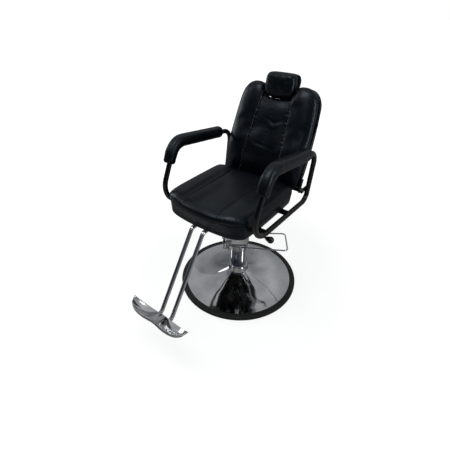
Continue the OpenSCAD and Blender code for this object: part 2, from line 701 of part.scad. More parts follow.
module arm_pad() {
    sides = 16;
    bore = arm_r/cos(180/sides) + pad_ease;
    function frame(q) = let (d = q*pad_l, along = turned_by(pad_up, pad_angle(d))) [pad_point(d), [-along[1], along[0]]];
    function outer(q, b) = let (f = frame(q), k = pad_swell(q),
            c = sign(cos(b))*pow(abs(cos(b)), 0.8), s = sign(sin(b))*pow(abs(sin(b)), 0.8),
            h = s*(pad_h/2)*k + 4)
        [c*pad_w/2*k*(s < 0 ? 1 - 0.12*s*s : 1), f[0][0] + f[1][0]*h, f[0][1] + f[1][1]*h];
    function inner(q, b) = let (f = frame(q)) [bore*cos(b), f[0][0] + f[1][0]*bore*sin(b), f[0][1] + f[1][1]*bore*sin(b)];
    rings = len(pad_stations);
    n = rings*sides;
    points = concat([for (q = pad_stations) for (j = [0 : sides - 1]) outer(q, 360*j/sides)],
                    [for (q = pad_stations) for (j = [0 : sides - 1]) inner(q, 360*j/sides)]);
    function at(i, j) = i*sides + j % sides;
    faces = concat(
        [for (i = [0 : rings - 2]) for (j = [0 : sides - 1])
            each [[at(i, j), at(i + 1, j + 1), at(i + 1, j)], [at(i, j), at(i, j + 1), at(i + 1, j + 1)]]],
        [for (i = [0 : rings - 2]) for (j = [0 : sides - 1])
            each [[n + at(i, j), n + at(i + 1, j), n + at(i + 1, j + 1)], [n + at(i, j), n + at(i + 1, j + 1), n + at(i, j + 1)]]],
        [for (j = [0 : sides - 1]) each [[at(0, j), n + at(0, j), n + at(0, j + 1)], [at(0, j), n + at(0, j + 1), at(0, j + 1)]]],
        [for (j = [0 : sides - 1]) let (i = rings - 1)
            each [[at(i, j), n + at(i, j + 1), n + at(i, j)], [at(i, j), at(i, j + 1), n + at(i, j + 1)]]]);
    translate([arm_x, 0, 0]) polyhedron(points, faces);
}

module arm_pad_left() color([0.1, 0.1, 0.11]) arm_pad();
module arm_pad_right() color([0.1, 0.1, 0.11]) mirror([1, 0, 0]) arm_pad();

// ---------- back pivot ----------

module pivot_tabs() color([0.1, 0.1, 0.11]) for (side = [0, 1]) mirror([side, 0, 0]) difference() {
    union() {
        translate([0, pivot_y, pivot_z]) bar_x(tab_x, tab_x + tab_t, pivot_d/2 + 9);
        translate([tab_x, pivot_y, pivot_z - 11]) cube([tab_t, 42, 22]);
        translate([tab_x, pivot_y + 22, pivot_z - 11]) cube([arm_x - tab_x, 20, 22]);
    }
    translate([0, pivot_y, pivot_z]) bar_x(tab_x - 1, tab_x + tab_t + 1, pivot_d/2 + press);
    loop_side(1, arm_r);
}

module pivot_bolts() color([0.6, 0.6, 0.62]) for (side = [0, 1]) mirror([side, 0, 0])
    translate([0, pivot_y, pivot_z]) {
        bar_x(ear_x - 6, tab_x + tab_t, pivot_d/2);
        bar_x(ear_x + ear_t + gap, tab_x - 0, pivot_d/2 + 4);
        translate([tab_x + tab_t, 0, 0]) rotate([0, 90, 0]) cylinder(r = pivot_d/2 + 3.5, h = 5, $fn = 6);
    }

// ---------- footrest ----------

// Direction along the tube's straight run, and the plate's own slope
foot_down = [-sin(foot_lean), -cos(foot_lean)];
plate_along = [-cos(plate_rise), sin(plate_rise)];
foot_saddle = 3;
plate_under = [plate_rear_y, plate_rear_z] - plate_t*[plate_along[1], -plate_along[0]]*1
    - (foot_r + foot_saddle)*[plate_along[1], -plate_along[0]];
// Where the straight run meets the run under the plate
foot_knee = [foot_knee_y, foot_top_z];
foot_reach = cross2(plate_under - foot_knee, plate_along)/cross2(foot_down, plate_along);
foot_ankle = foot_knee + foot_down*foot_reach;
foot_toe = plate_under + plate_along*(plate_l - 40);
foot_path = [[foot_top_y, foot_top_z], foot_knee, foot_ankle, foot_toe];

module foot_pipe(r) translate([foot_gap/2, 0, 0]) in_side_plane() bent_bar(foot_path, foot_radii, r, false);

module foot_tube_one() difference() {
    foot_pipe(foot_r);
    foot_pipe(foot_r - 2);
}

module foot_tube_left() color("silver") foot_tube_one();
module foot_tube_right() color("silver") mirror([1, 0, 0]) foot_tube_one();

// Puts the plate's own directions in place: x across, y up the slope to the front, z out of its top
module in_plate() translate([0, plate_rear_y, plate_rear_z]) rotate([0, 0, 180]) rotate([plate_rise, 0, 0]) children();

module foot_bracket() color([0.5, 0.5, 0.52]) difference() {
    in_plate() translate([-foot_gap/2 - 20, 12, -plate_t - foot_saddle - foot_r]) cube([foot_gap + 40, plate_l - 50, foot_saddle + foot_r]);
    for (side = [0, 1]) mirror([side, 0, 0]) foot_pipe(foot_r);
}

// Plan of the plate: s across from -1 to 1, t from 0 at the rear to 1 at the front
function plate_x(s, t) = s*plate_w/2*(1 - 0.07*t);
function plate_y(s, t) = lerp(7 + 28*pow(abs(s), 4), plate_l - 20*pow(abs(s), 5) - 4*exp(-pow(s/0.25, 2)), t);
function plate_flute(s, t) = 1.5*shoulder(2*t - 1, 6)*shoulder(s, 8)*cos(6*atan2(t + 0.25, s*2.2));
function plate_z(s, t) = lerp(5 + 28*pow(abs(s), 4.5) + 4*exp(-pow(s/0.2, 2)),
                              16*pow(abs(s), 5) + 4*exp(-pow(s/0.3, 2)), t)
    - 8*sin(180*t)*shoulder(s, 6)*(1 - exp(-pow(s/0.3, 2))) + plate_flute(s, t);
function plate_depth(s, t) = lerp(plate_t, plate_lip, pow(t, 3))*(1 - 0.6*pow(abs(s), 8));
plate_cols = crowd_both(36);
plate_rows = [0, 0.06, 0.18, 0.34, 0.5, 0.66, 0.82, 0.94, 1];

module foot_plate() {
    function sheet(below, inset) = [for (t = plate_rows) [for (s = plate_cols) let (k = 1 - inset/(plate_w/2))
        [plate_x(s, t)*k, lerp(plate_y(s, t), plate_l/2, inset/(plate_l/2)),
         !below ? plate_z(s, t) : abs(plate_x(s, t)) < plate_flat && t < 0.7 ? -plate_t : plate_z(s, t) - plate_depth(s, t)]]];
    rim = [for (p = rim_of(sheet(false, 0))) p - [0, 0, 2]];
    color("silver") in_plate() slab(sheet(false, 2), [rim], sheet(true, 1));
}

module foot_screws() color([0.55, 0.55, 0.57]) in_plate() for (x = [-18, 18]) for (y = [18, 34])
    translate([x, y, -plate_t - foot_saddle - foot_r - 4]) cylinder(d = 11, h = 4, $fn = 6);

// ---------- gas spring and its release ----------

module gas_bracket() color([0.1, 0.1, 0.11]) for (x = [gas_x - 11, gas_x + 6]) difference() {
    translate([x, frame_front + 4, gas_z - 11]) cube([5, 52, frame_z - gas_z + 11]);
    translate([0, gas_front - 12, gas_z]) bar_x(x - 1, x + 6, gas_pin_r + press);
}

module gas_pin() color([0.6, 0.6, 0.62]) translate([0, gas_front - 12, gas_z]) {
    bar_x(gas_x - 13, gas_x + 13, gas_pin_r);
    for (x = [gas_x - 14, gas_x + 11]) bar_x(x, x + 3, gas_pin_r + 2);
}

module gas_cylinder() color([0.12, 0.12, 0.13]) difference() {
    union() {
        translate([gas_x, 0, gas_z]) bar_y(gas_front, gas_end, gas_r);
        translate([gas_x - 5.6, gas_front - 12, gas_z - 9]) cube([11.2, 14, 18]);
        translate([0, gas_front - 12, gas_z]) bar_x(gas_x - 5.6, gas_x + 5.6, 9);
    }
    translate([0, gas_front - 12, gas_z]) bar_x(gas_x - 7, gas_x + 7, gas_pin_r + press);
    translate([gas_x, 0, gas_z]) bar_y(gas_front + 26, gas_end - 8, gas_r - gas_wall);
    translate([gas_x, 0, gas_z]) bar_y(gas_end - 9, gas_end + 1, gas_rod_r + run);
    translate([gas_x, release_y, gas_z - 4]) cylinder(r = 3 + run, h = gas_r + 6);
}

module gas_rod() color("silver") difference() {
    union() {
        translate([gas_x, 0, gas_z]) {
            bar_y(gas_end - 24, crank_y - 12, gas_rod_r);
            bar_y(gas_end - 24, gas_end - 14, gas_r - gas_wall - run);
        }
        translate([gas_x - 5, crank_y - 13, gas_z - 17]) cube([10, 26, 28]);
    }
    translate([gas_x - 6, crank_y - crank_pin_r - 1, gas_z - crank_drop - crank_pin_r - 1])
        cube([12, 2*crank_pin_r + 2, crank_drop + 2*crank_pin_r + 2]);
}

module release_pin() color([0.6, 0.6, 0.62]) translate([gas_x, release_y, gas_z + 1]) {
    cylinder(r = 3, h = release_z - 6 - gap - gas_z - 1);
}

module release_bracket() color([0.1, 0.1, 0.11]) {
    for (y = [release_y - 12, release_y + 6]) difference() {
        translate([release_x - 8, y, release_z - 8]) cube([frame_w/2 - rail - release_x + 8, 6, 17]);
        translate([release_x, y - 1, release_z]) bar_y(0, 8, 4 + press);
    }
    translate([release_x, release_y - 12, release_z]) bar_y(0, 24, 4);
}

module release_lever() color([0.55, 0.55, 0.57]) difference() {
    union() {
        translate([gas_x - 5, release_y - 5, release_z - 6]) cube([46, 10, 12]);
        translate([gas_x + 33, release_y - 5, release_rod_z - 6]) cube([10, 10, release_z - release_rod_z + 12]);
        translate([0, release_y, release_rod_z]) bar_x(gas_x + 38, knob_x - 10, release_rod_r);
    }
    translate([release_x, release_y - 6, release_z]) bar_y(0, 12, 4 + run);
}

module release_knob() color([0.06, 0.06, 0.07]) translate([0, release_y, release_rod_z]) difference() {
    union() {
        translate([knob_x, 0, 0]) sphere(r = knob_r);
        translate([knob_x - knob_r - 6, 0, 0]) rotate([0, 90, 0]) cylinder(r1 = 9, r2 = knob_r*0.93, h = knob_r);
    }
    bar_x(knob_x - knob_r - 7, knob_x - 10, release_rod_r + press);
}

// ---------- back ----------

module back_frame() color([0.1, 0.1, 0.11]) {
    difference() {
        union() {
            for (side = [0, 1]) mirror([side, 0, 0]) {
                translate([0, pivot_y, pivot_z]) bar_x(ear_x, ear_x + ear_t, pivot_d/2 + 10);
                in_back() translate([ear_x, -6, 0]) cube([ear_t, board_n + 6, ear_l]);
                in_back() translate([ear_x - bar_w, bar_n, 14]) cube([bar_w + 1, bar_t, back_bar_l]);
            }
            translate([0, pivot_y, pivot_z]) bar_x(-ear_x - 1, ear_x + 1, 11);
            translate([crank_x, 0, 0]) in_side_plane() linear_extrude(crank_t) {
                translate([pivot_y, pivot_z]) circle(r = 18);
                translate([crank_y, gas_z]) circle(r = 12);
                translate([pivot_y, pivot_z]) rotate(recline/2 - 90) translate([0, -11]) square([crank_l, 22]);
            }
            translate([0, crank_y, gas_z]) bar_x(gas_x - 7, crank_x + 1, crank_pin_r);
        }
        for (side = [0, 1]) mirror([side, 0, 0]) translate([0, pivot_y, pivot_z])
            bar_x(ear_x - 12, ear_x + ear_t + 1, pivot_d/2 + run);
    }
}

// Outline of the back, in its own directions: half width, and the tops of the three panels
function back_half(u) = back_w/2*(1 - 0.10*pow(max(0, u - 180)/300, 1.8) - 0.05*pow(max(0, 150 - u)/150, 3));
function seam_x(u) = 85 + 0.082*(notch_u - u);
shoulder_peak = 0.42;
notch_dip = 8;
notch_side_u = notch_u + 2 + notch_dip;
function back_top(w) = w <= 0 ? notch_u + 2 + notch_dip*pow(1 + w, 2)
    : w < shoulder_peak ? notch_side_u + (shoulder_u - notch_side_u)*pow(1 - pow(1 - w/shoulder_peak, 3), 0.5)
    : notch_u - 14 + (shoulder_u - notch_u + 14)*pow(1 - pow((w - shoulder_peak)/(1 - shoulder_peak), 2.4), 0.5);

// A column k runs from -1 to 0 over the middle panel and from 0 to 1 over a side panel
function back_x(k, u, grow) = k <= 0 ? (1 + k)*seam_x(u) : lerp(seam_x(u), back_half(u) + grow, k);
function back_point(k, t, grow, low_u = back_low_u) = let (
        low = low_u - grow/2 + 10*pow(max(k, 0), 4),
        wall = 0.006*min(grow, 0)*min(1, max(0, 1 - k/shoulder_peak)),
        u = lerp(low, back_top(k + wall) + grow*lerp(0.6, 1, max(k, 0)), t))
    [back_x(k, u, grow), u];

back_half_cols = concat([-1, -0.6, -0.22], [0, 0.05, 0.12], [for (a = crowd(8)) if (a > 0.15) lerp(0.1, 1, a)]);
back_cols = concat([for (i = [len(back_half_cols) - 1 : -1 : 1]) [back_half_cols[i], -1]], [for (k = back_half_cols) [k, 1]]);
back_rows = [for (a = crowd_both(15)) (a + 1)/2];

// Front of the back cushion: bolsters either side of a flatter middle, a lumbar swell and a tucked foot
function back_front(k, t) = let (
        u = back_point(k, t, 0)[1],
        edge = shoulder(max(k, 0), 6)*shoulder(2*t - 1, 12),
        panel = k < 0 ? 0.35*sin(90*(-k)) : sin(180*pow(k, 0.75)),
        lumbar = 9*exp(-pow((u - 165)/75, 2)) - 17*exp(-pow(max(0, u - rear_low_u)/55, 2)))
    lerp(cushion_n + 12, back_seam_n + 11*panel + lumbar, edge);

module back_cushion() {
    function at(n_of, inset) = [for (t = back_rows) [for (c = back_cols) let (p = back_point(c[0], t, -inset))
        [c[1]*p[0], n_of(c[0], t), p[1]]]];
    front = at(function (k, t) back_front(k, t), 0);
    rear = at(function (k, t) cushion_n, 6);
    color([0.1, 0.1, 0.11]) in_back() slab(front, [], rear);
}

module back_rear_pad() {
    rows = [0, 0.03, 0.12, 0.35, 0.65, 0.85, 0.95, 1];
    half = [-1, -0.6, -0.22, 0, 0.05, 0.15, 0.28, 0.42, 0.58, 0.74, 0.87, 0.96, 1];
    cols = concat([for (i = [len(half) - 1 : -1 : 1]) [half[i], -1]], [for (k = half) [k, 1]]);
    function at(n_of, grow) = [for (t = rows) [for (c = cols) let (p = back_point(c[0], t, grow, rear_low_u))
        [c[1]*p[0], n_of(c[0], t), p[1]]]];
    front = at(function (k, t) bar_n, 2);
    rear = at(function (k, t) bar_n - 12 - (rear_pad_t - 12)*shoulder(max(k, 0), 5)*shoulder(2*t - 1, 10), 3);
    color([0.09, 0.09, 0.1]) in_back() slab(front, [], rear);
}

module back_board() color("burlywood") in_back() translate([0, cushion_n, 0]) rotate([90, 0, 0])
    linear_extrude(back_board_t) polygon(
        [for (p = rim_of([for (t = [0, 0.06, 0.3, 0.7, 0.94, 1]) [for (c = back_cols)
            let (q = back_point(c[0], t, -14)) [c[1]*q[0], q[1]]]])) p]);

// ---------- headrest ----------

module headrest_guides() color([0.2, 0.2, 0.21]) in_back() for (side = [0, 1]) mirror([side, 0, 0]) difference() {
    translate([post_x - post_w/2 - 3, bar_n, guide_top_u - guide_l]) cube([post_w + 6, bar_t, guide_l]);
    translate([post_x - post_w/2 - 0.1, post_n - 0.1, guide_top_u - guide_l - 1]) cube([post_w + 0.2, post_t + 0.2, guide_l + 2]);
}

// The headrest leans forward from the foot of its pads: x across, y is forward of the posts, z is up it
module in_rest() in_back() translate([0, post_n, rest_low_u]) rotate([-rest_tilt, 0, 0]) children();

post_low_u = guide_top_u - rest_travel - 50;
post_leans = [sin(rest_tilt), cos(rest_tilt)];
post_end = [post_n, rest_low_u] + (post_reach - 2)*post_leans;

module headrest_posts() color("silver") for (side = [0, 1]) mirror([side, 0, 0])
    in_back() translate([post_x - post_w/2, 0, 0]) in_side_plane() linear_extrude(post_w) polygon([
        [post_n, post_low_u],
        [post_n + post_t, post_low_u],
        [post_n + post_t, rest_low_u - post_t*tan(rest_tilt/2)],
        post_end + post_t*[post_leans[1], -post_leans[0]],
        post_end,
        [post_n, rest_low_u]]);

// Outline of the headrest: s and t from -1 to 1; the rear pad is wider towards its top
function rest_point(s, t, inset, wide) = [
    s*(rest_w/2 - inset)*(1 + wide*max(0, t + 0.4)/1.4)*sqrt(1 - 0.26*pow(t, 4)),
    rest_h/2 + t*(rest_h/2 - inset)*sqrt(1 - 0.22*pow(s, 4))];
rest_steps = crowd_both(14);

module headrest_slab(front_of, rear_of, wide_front, inset, wide_rear) {
    function at(n_of, inset, wide) = [for (t = rest_steps) [for (s = rest_steps)
        let (p = rest_point(s, t, inset, wide)) [p[0], n_of(s, t), p[1]]]];
    slab(at(front_of, 0, wide_front), [], at(rear_of, inset, wide_rear));
}

module headrest_cushion() color([0.1, 0.1, 0.11]) in_rest()
    headrest_slab(function (s, t) lerp(rest_rim_n, rest_front_n, shoulder(s, 5)*shoulder(t, 5)),
                  function (s, t) post_t + rest_board_t, 0, 5, 0);

module headrest_board() color("burlywood") in_rest() translate([0, post_t + rest_board_t, 0]) rotate([90, 0, 0])
    linear_extrude(rest_board_t) polygon([for (p = rim_of([for (t = rest_steps) [for (s = rest_steps)
        rest_point(s, t, 12, 0)]])) p]);

module headrest_rear_pad() color([0.09, 0.09, 0.1]) in_rest() difference() {
    headrest_slab(function (s, t) post_t, function (s, t) -6 - rest_rear_t*shoulder(s, 4)*shoulder(t, 2.4), 0.12, 2, 0.12);
    for (side = [0, 1]) mirror([side, 0, 0]) translate([post_x - post_w/2 - 0.3, -0.6, -8])
        cube([post_w + 0.6, post_t + 1.6, post_reach + 12]);
}

base_cover();
edge_ring();
floor_plate();
column_socket();
socket_bolts();
hub_collar();
column_tube();
column_gland();
ram();
piston();
piston_seal();
thrust_washer();
ram_nut();
pump_head();
guide_ring();
valve_cap();
lever_bracket();
lever_bolts();
pump_lever();
plunger();
plunger_spring();
mount_plate();
mount_bolts();
seat_frame();
seat_board();
seat_cushion();
seat_brackets();
arm_loop_left();
arm_loop_right();
arm_pad_left();
arm_pad_right();
pivot_tabs();
pivot_bolts();
foot_tube_left();
foot_tube_right();
foot_bracket();
foot_plate();
foot_screws();
gas_bracket();
gas_pin();
gas_cylinder();
gas_rod();
release_pin();
release_bracket();
release_lever();
release_knob();
back_frame();
back_board();
back_cushion();
back_rear_pad();
headrest_guides();
headrest_posts();
headrest_board();
headrest_cushion();
headrest_rear_pad();
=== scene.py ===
import json
import math

import bpy
import numpy as np
from mathutils import Matrix, Vector


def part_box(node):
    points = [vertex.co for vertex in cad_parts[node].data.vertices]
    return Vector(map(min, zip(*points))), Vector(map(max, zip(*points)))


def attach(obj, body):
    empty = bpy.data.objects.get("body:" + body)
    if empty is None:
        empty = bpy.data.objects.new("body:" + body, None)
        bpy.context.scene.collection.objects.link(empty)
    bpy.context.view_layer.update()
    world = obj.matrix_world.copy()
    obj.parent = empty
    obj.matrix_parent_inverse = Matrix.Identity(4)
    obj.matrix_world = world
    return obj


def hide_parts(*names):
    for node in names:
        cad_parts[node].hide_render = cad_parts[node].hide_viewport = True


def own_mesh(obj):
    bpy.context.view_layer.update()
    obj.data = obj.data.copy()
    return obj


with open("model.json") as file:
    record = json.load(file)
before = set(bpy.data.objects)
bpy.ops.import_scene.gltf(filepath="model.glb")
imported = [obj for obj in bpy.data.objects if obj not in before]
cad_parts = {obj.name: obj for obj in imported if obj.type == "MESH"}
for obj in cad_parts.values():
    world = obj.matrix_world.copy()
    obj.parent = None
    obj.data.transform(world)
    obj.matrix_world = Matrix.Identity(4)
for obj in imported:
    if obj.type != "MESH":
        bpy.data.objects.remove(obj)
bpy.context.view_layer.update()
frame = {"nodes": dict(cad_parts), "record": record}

# Upholstery, stitching, finishes, light and camera for a hydraulic barber chair.
# Shapes are written in millimetres and become metres in piece().

SCENE = bpy.context.scene
CLOTH_FRAMES = 18


# ---------- shape helpers ----------

def lerp(a, b, t):
    """a at t = 0, b at t = 1, in a straight line between."""
    return a + (b - a) * t


def shoulder(s, p):
    """sqrt(1 - |s|^p): 1 in the middle, round down to 0 at s = -1 and 1."""
    return np.sqrt(np.maximum(0.0, 1 - np.abs(s) ** p))


def bell(x, width):
    """exp(-(x / width)^2): a soft bump of that half width."""
    return np.exp(-(x / width) ** 2)


def spaced(count, *near):
    """count steps from 0 to 1, whose density is 1 + the sum of strength * bell(x - centre, width) over the
    (centre, width, strength) given."""
    x = np.linspace(0, 1, 4001)
    density = 1 + sum(strength * bell(x - centre, width) for centre, width, strength in near)
    total = np.concatenate([[0], np.cumsum((density[1:] + density[:-1]) / 2)])
    return np.interp(np.linspace(0, 1, count), total / total[-1], x)


def ripple(a, waves, seed):
    """Sum of height * sin(2 pi a / length + phase) over the (length, height) waves, phases by seed."""
    phases = np.random.default_rng(seed).uniform(0, 2 * math.pi, len(waves))
    return sum(h * np.sin(2 * math.pi * a / length + p) for (length, h), p in zip(waves, phases))


def quads(grid):
    """Four-sided faces between the neighbours of a grid of point numbers."""
    return np.stack([grid[:-1, :-1], grid[:-1, 1:], grid[1:, 1:], grid[1:, :-1]], -1).reshape(-1, 4)


def wrapped(grid):
    """The grid with its first column again after its last, so that it closes on itself."""
    return np.hstack([grid, grid[:, :1]])


def rim_of(rows, cols):
    """Point numbers once round the rim of a grid of that many rows and columns."""
    grid = np.arange(rows * cols).reshape(rows, cols)
    return np.concatenate([grid[0, :-1], grid[:-1, -1], grid[-1, :0:-1], grid[:0:-1, 0]])


def closed_slab(front, rings, back):
    """Points and faces of one closed surface: the front grid, rings round its rim, then the back grid."""
    rows, cols = front.shape[:2]
    rim = rim_of(rows, cols)
    base = rows * cols + len(rings) * len(rim)
    picked = [ring.reshape(-1, 3)[rim] for ring in rings]
    points = np.concatenate([front.reshape(-1, 3)] + picked + [back.reshape(-1, 3)])
    between = [rows * cols + k * len(rim) + np.arange(len(rim)) for k in range(len(rings))]
    loops = [rim] + between + [base + rim]
    top = quads(np.arange(rows * cols).reshape(rows, cols))
    sides = [np.stack([a, b, np.roll(b, -1), np.roll(a, -1)], -1) for a, b in zip(loops[:-1], loops[1:])]
    return points, np.concatenate([top, base + top[:, ::-1]] + sides)


def outward(points, faces):
    """The faces, turned over when the signed volume sum(a . (b x c)) / 6 comes out negative."""
    a, b, c, d = (points[faces[:, k]] for k in range(4))
    volume = np.sum(a * np.cross(b, c)) + np.sum(a * np.cross(c, d))
    return faces if volume > 0 else faces[:, ::-1]


def tube(path, radius, sides, closed=False):
    """Points and faces of a round tube along a path, its ring turned by the least twist. An open one has its
    ends closed by small caps."""
    path = np.asarray(path, float)
    ahead = np.roll(path, -1, 0) - np.roll(path, 1, 0) if closed else np.gradient(path, axis=0)
    ahead /= np.linalg.norm(ahead, axis=1)[:, None]
    across = np.cross(ahead[0], [0, 0, 1.0])
    if np.linalg.norm(across) < 0.1:
        across = np.cross(ahead[0], [0, 1.0, 0])
    frames = []
    for along in ahead:
        across = across - along * (across @ along)
        across /= np.linalg.norm(across)
        frames.append((across, np.cross(along, across)))
    turn = np.linspace(0, 2 * math.pi, sides, endpoint=False)
    sizes = np.broadcast_to(radius, len(path))
    rings = np.array([p + r * (np.outer(np.cos(turn), u) + np.outer(np.sin(turn), v))
                      for p, r, (u, v) in zip(path, sizes, frames)])
    index = np.arange(len(path) * sides).reshape(-1, sides)
    skin = quads(wrapped(np.vstack([index, index[:1]]) if closed else index)).tolist()
    caps = [] if closed else [index[0, ::-1].tolist(), index[-1].tolist()]
    return rings.reshape(-1, 3), skin + caps


BACK_LEAN = math.radians(22)
PIVOT_Y, PIVOT_Z = 203.0, 596.0  # the pin that the back turns on


def in_back(x, n, u):
    """Point of the back's own directions: x across, n forward of the pivot, u up the back, which leans."""
    x, n, u = np.broadcast_arrays(x, n, u)
    y = PIVOT_Y - n * math.cos(BACK_LEAN) + u * math.sin(BACK_LEAN)
    z = PIVOT_Z + n * math.sin(BACK_LEAN) + u * math.cos(BACK_LEAN)
    return np.stack([x, y, z], -1)


BACK_FORWARD = in_back(0, 1, 0) - in_back(0, 0, 0)


def piece(name, points, faces, body, material, levels=0):
    """A mesh object from points in mm, smooth, riding on a body of the CAD part."""
    faces = outward(points, faces).tolist() if isinstance(faces, np.ndarray) else faces
    mesh = bpy.data.meshes.new(name)
    mesh.from_pydata((points * 0.001).tolist(), [], faces)
    mesh.polygons.foreach_set("use_smooth", [True] * len(mesh.polygons))
    mesh.update()
    obj = bpy.data.objects.new(name, mesh)
    SCENE.collection.objects.link(obj)
    mesh.materials.append(material)
    if levels:
        sub = obj.modifiers.new("Subdivision", "SUBSURF")
        sub.levels = sub.render_levels = levels
    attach(obj, body)
    return obj


def evened(values, faces, rounds):
    """Values at the corners of four-sided faces, each averaged with its neighbours', rounds times over."""
    sides = np.concatenate([faces, np.roll(faces, -1, axis=1)]).reshape(2, -1)
    count = np.bincount(sides.ravel(), minlength=len(values))[:, None]
    for _ in range(rounds):
        total = np.zeros_like(values)
        np.add.at(total, sides[0], values[sides[1]])
        np.add.at(total, sides[1], values[sides[0]])
        values = (values + total / np.maximum(count, 1)) / 2
    return values


def between_seams(edge, off, t):
    """Freedom of sewn panels: that of their rounded edge, and none on a seam, off = 0, nor at t = 0 or 1."""
    return edge ** 0.7 * (1 - bell(off, 3.2)) * (1 - bell(t, 0.012)) * (1 - bell(1 - t, 0.012))


def front_freedom(points, free):
    """Freedom of every point: free, held to 0..1, on the front grid, whose points come first, else none."""
    freedom = np.zeros(len(points))
    freedom[:free.size] = np.clip(free.ravel(), 0, 1)
    return freedom


def puff(points, faces, freedom, cap, pressure, slack, stiff=1.5, rounds=0):
    """Cloth under inner pressure, from points in mm: a point with freedom 0 is sewn down, the others move by
    at most cap, times their freedom. slack is how much wider the cloth is cut than the form. Each round evens
    the movement out between neighbours, which leaves only the broad fullness."""
    mesh = bpy.data.meshes.new("cloth")
    mesh.from_pydata((points * 0.001).tolist(), [], outward(points, faces).tolist())
    obj = bpy.data.objects.new("cloth", mesh)
    SCENE.collection.objects.link(obj)
    pin = obj.vertex_groups.new(name="pin")
    held = np.round(1 - freedom, 1)
    for level in np.unique(held):
        pin.add(np.flatnonzero(held == level).tolist(), float(level), "REPLACE")
    cloth = obj.modifiers.new("Cloth", "CLOTH")
    settings = cloth.settings
    settings.quality = 6
    settings.mass = 0.4
    settings.tension_stiffness = settings.compression_stiffness = 20
    settings.shear_stiffness = 8
    settings.bending_stiffness = stiff
    settings.use_pressure = True
    settings.uniform_pressure_force = pressure
    settings.shrink_min = -slack
    settings.vertex_group_mass = "pin"
    settings.effector_weights.gravity = 0
    cloth.collision_settings.use_collision = False
    cloth.point_cache.frame_start = 1
    cloth.point_cache.frame_end = CLOTH_FRAMES
    for frame_number in range(1, CLOTH_FRAMES + 1):
        SCENE.frame_set(frame_number)
    result = obj.evaluated_get(bpy.context.evaluated_depsgraph_get()).data
    moved = np.empty(len(points) * 3, np.float32)
    result.vertices.foreach_get("co", moved)
    shift = evened(moved.reshape(-1, 3) * 1000 - points, faces, rounds)
    length = np.linalg.norm(shift, axis=1)
    shift *= (freedom * np.minimum(1, cap / np.maximum(length, 1e-6)))[:, None]
    bpy.data.objects.remove(obj)
    bpy.data.meshes.remove(mesh)
    SCENE.frame_set(1)
    return points + shift


# ---------- materials ----------

NOISE_LOW, NOISE_HIGH = 0.3, 0.7  # most of a noise pattern lies between these
METAL_GRAIN = 900  # to the metre: about a millimetre wide, coarser than the real grain, so that it shows


def colour(code):
    """sRGB hex to the linear colour a shader takes."""
    parts = [int(code[k:k + 2], 16) / 255 for k in (1, 3, 5)]
    return tuple(c / 12.92 if c <= 0.04045 else ((c + 0.055) / 1.055) ** 2.4 for c in parts) + (1.0,)


def node(tree, kind, inputs=None, **settings):
    """Adds a shader node with its settings. Each input, by name or place, is a value or another's output."""
    made = tree.nodes.new(kind)
    for key, value in settings.items():
        setattr(made, key, value)
    for key, value in (inputs or {}).items():
        if isinstance(value, bpy.types.NodeSocket):
            tree.links.new(value, made.inputs[key])
        else:
            made.inputs[key].default_value = value
    return made


def base_material(name, **values):
    """A Principled material of those socket values, with its tree, its shader and Object coordinates."""
    mat = bpy.data.materials.new(name)
    mat.use_nodes = True
    tree = mat.node_tree
    shader = tree.nodes["Principled BSDF"]
    for key, value in values.items():
        shader.inputs[key.replace("_", " ")].default_value = value
    where = tree.nodes.new("ShaderNodeTexCoord").outputs["Object"]
    return mat, tree, shader, where


def patchy(tree, where, tones, scale):
    """A colour that drifts between two sRGB hex tones, in so many patches to the metre."""
    pattern = node(tree, "ShaderNodeTexNoise", {"Vector": where, "Scale": scale, "Detail": 3})
    blend = node(tree, "ShaderNodeValToRGB", {"Fac": pattern.outputs["Fac"]})
    for stop, place, tone in zip(blend.color_ramp.elements, (NOISE_LOW, NOISE_HIGH), tones):
        stop.position, stop.color = place, colour(tone)
    return blend.outputs["Color"]


def uneven(tree, where, limits, scale, detail):
    """A number that drifts between two limits, in so many patches to the metre."""
    pattern = node(tree, "ShaderNodeTexNoise", {"Vector": where, "Scale": scale, "Detail": detail})
    spread = {"From Min": NOISE_LOW, "From Max": NOISE_HIGH, "To Min": limits[0], "To Max": limits[1]}
    return node(tree, "ShaderNodeMapRange", {"Value": pattern.outputs["Fac"], **spread}).outputs["Result"]


def mottle(tree, shader, where, tones, sheen, patches, clouds, detail=4):
    """Base colour from tones in so many patches to the metre, roughness from sheen in so many clouds."""
    tree.links.new(patchy(tree, where, tones, patches), shader.inputs["Base Color"])
    tree.links.new(uneven(tree, where, sheen, clouds, detail), shader.inputs["Roughness"])


def relief(tree, shader, where, depth_mm, scale, detail, strength=1.0, under=None):
    """Soft bumps of depth_mm, so many to the metre, on the shader's normal, over another relief if given."""
    pattern = node(tree, "ShaderNodeTexNoise", {"Vector": where, "Scale": scale, "Detail": detail})
    bumps = {"Height": pattern.outputs["Fac"], "Strength": strength, "Distance": depth_mm * 0.001}
    if under is not None:
        bumps["Normal"] = under
    normal = node(tree, "ShaderNodeBump", bumps).outputs["Normal"]
    tree.links.new(normal, shader.inputs["Normal"])
    return normal


def vinyl(name, tones, sheen, grain_mm=1.5, grain=0.18):
    """Embossed vinyl: calendered sheet with a pebble grain, softly uneven sheen and colour."""
    mat, tree, shader, where = base_material(name, Specular_Tint=(0.72, 0.86, 1.0, 1.0))
    mottle(tree, shader, where, tones, sheen, patches=9, clouds=22)
    soft = relief(tree, shader, where, 0.8, 70, 2, 0.5)
    cells = {"Vector": where, "Scale": 1000 / grain_mm, "Smoothness": 0.6}
    pebble = node(tree, "ShaderNodeTexVoronoi", cells, feature="SMOOTH_F1").outputs["Distance"]
    embossed = {"Height": pebble, "Strength": 0.6, "Distance": grain * 0.001, "Normal": soft}
    tree.links.new(node(tree, "ShaderNodeBump", embossed).outputs["Normal"], shader.inputs["Normal"])
    return mat


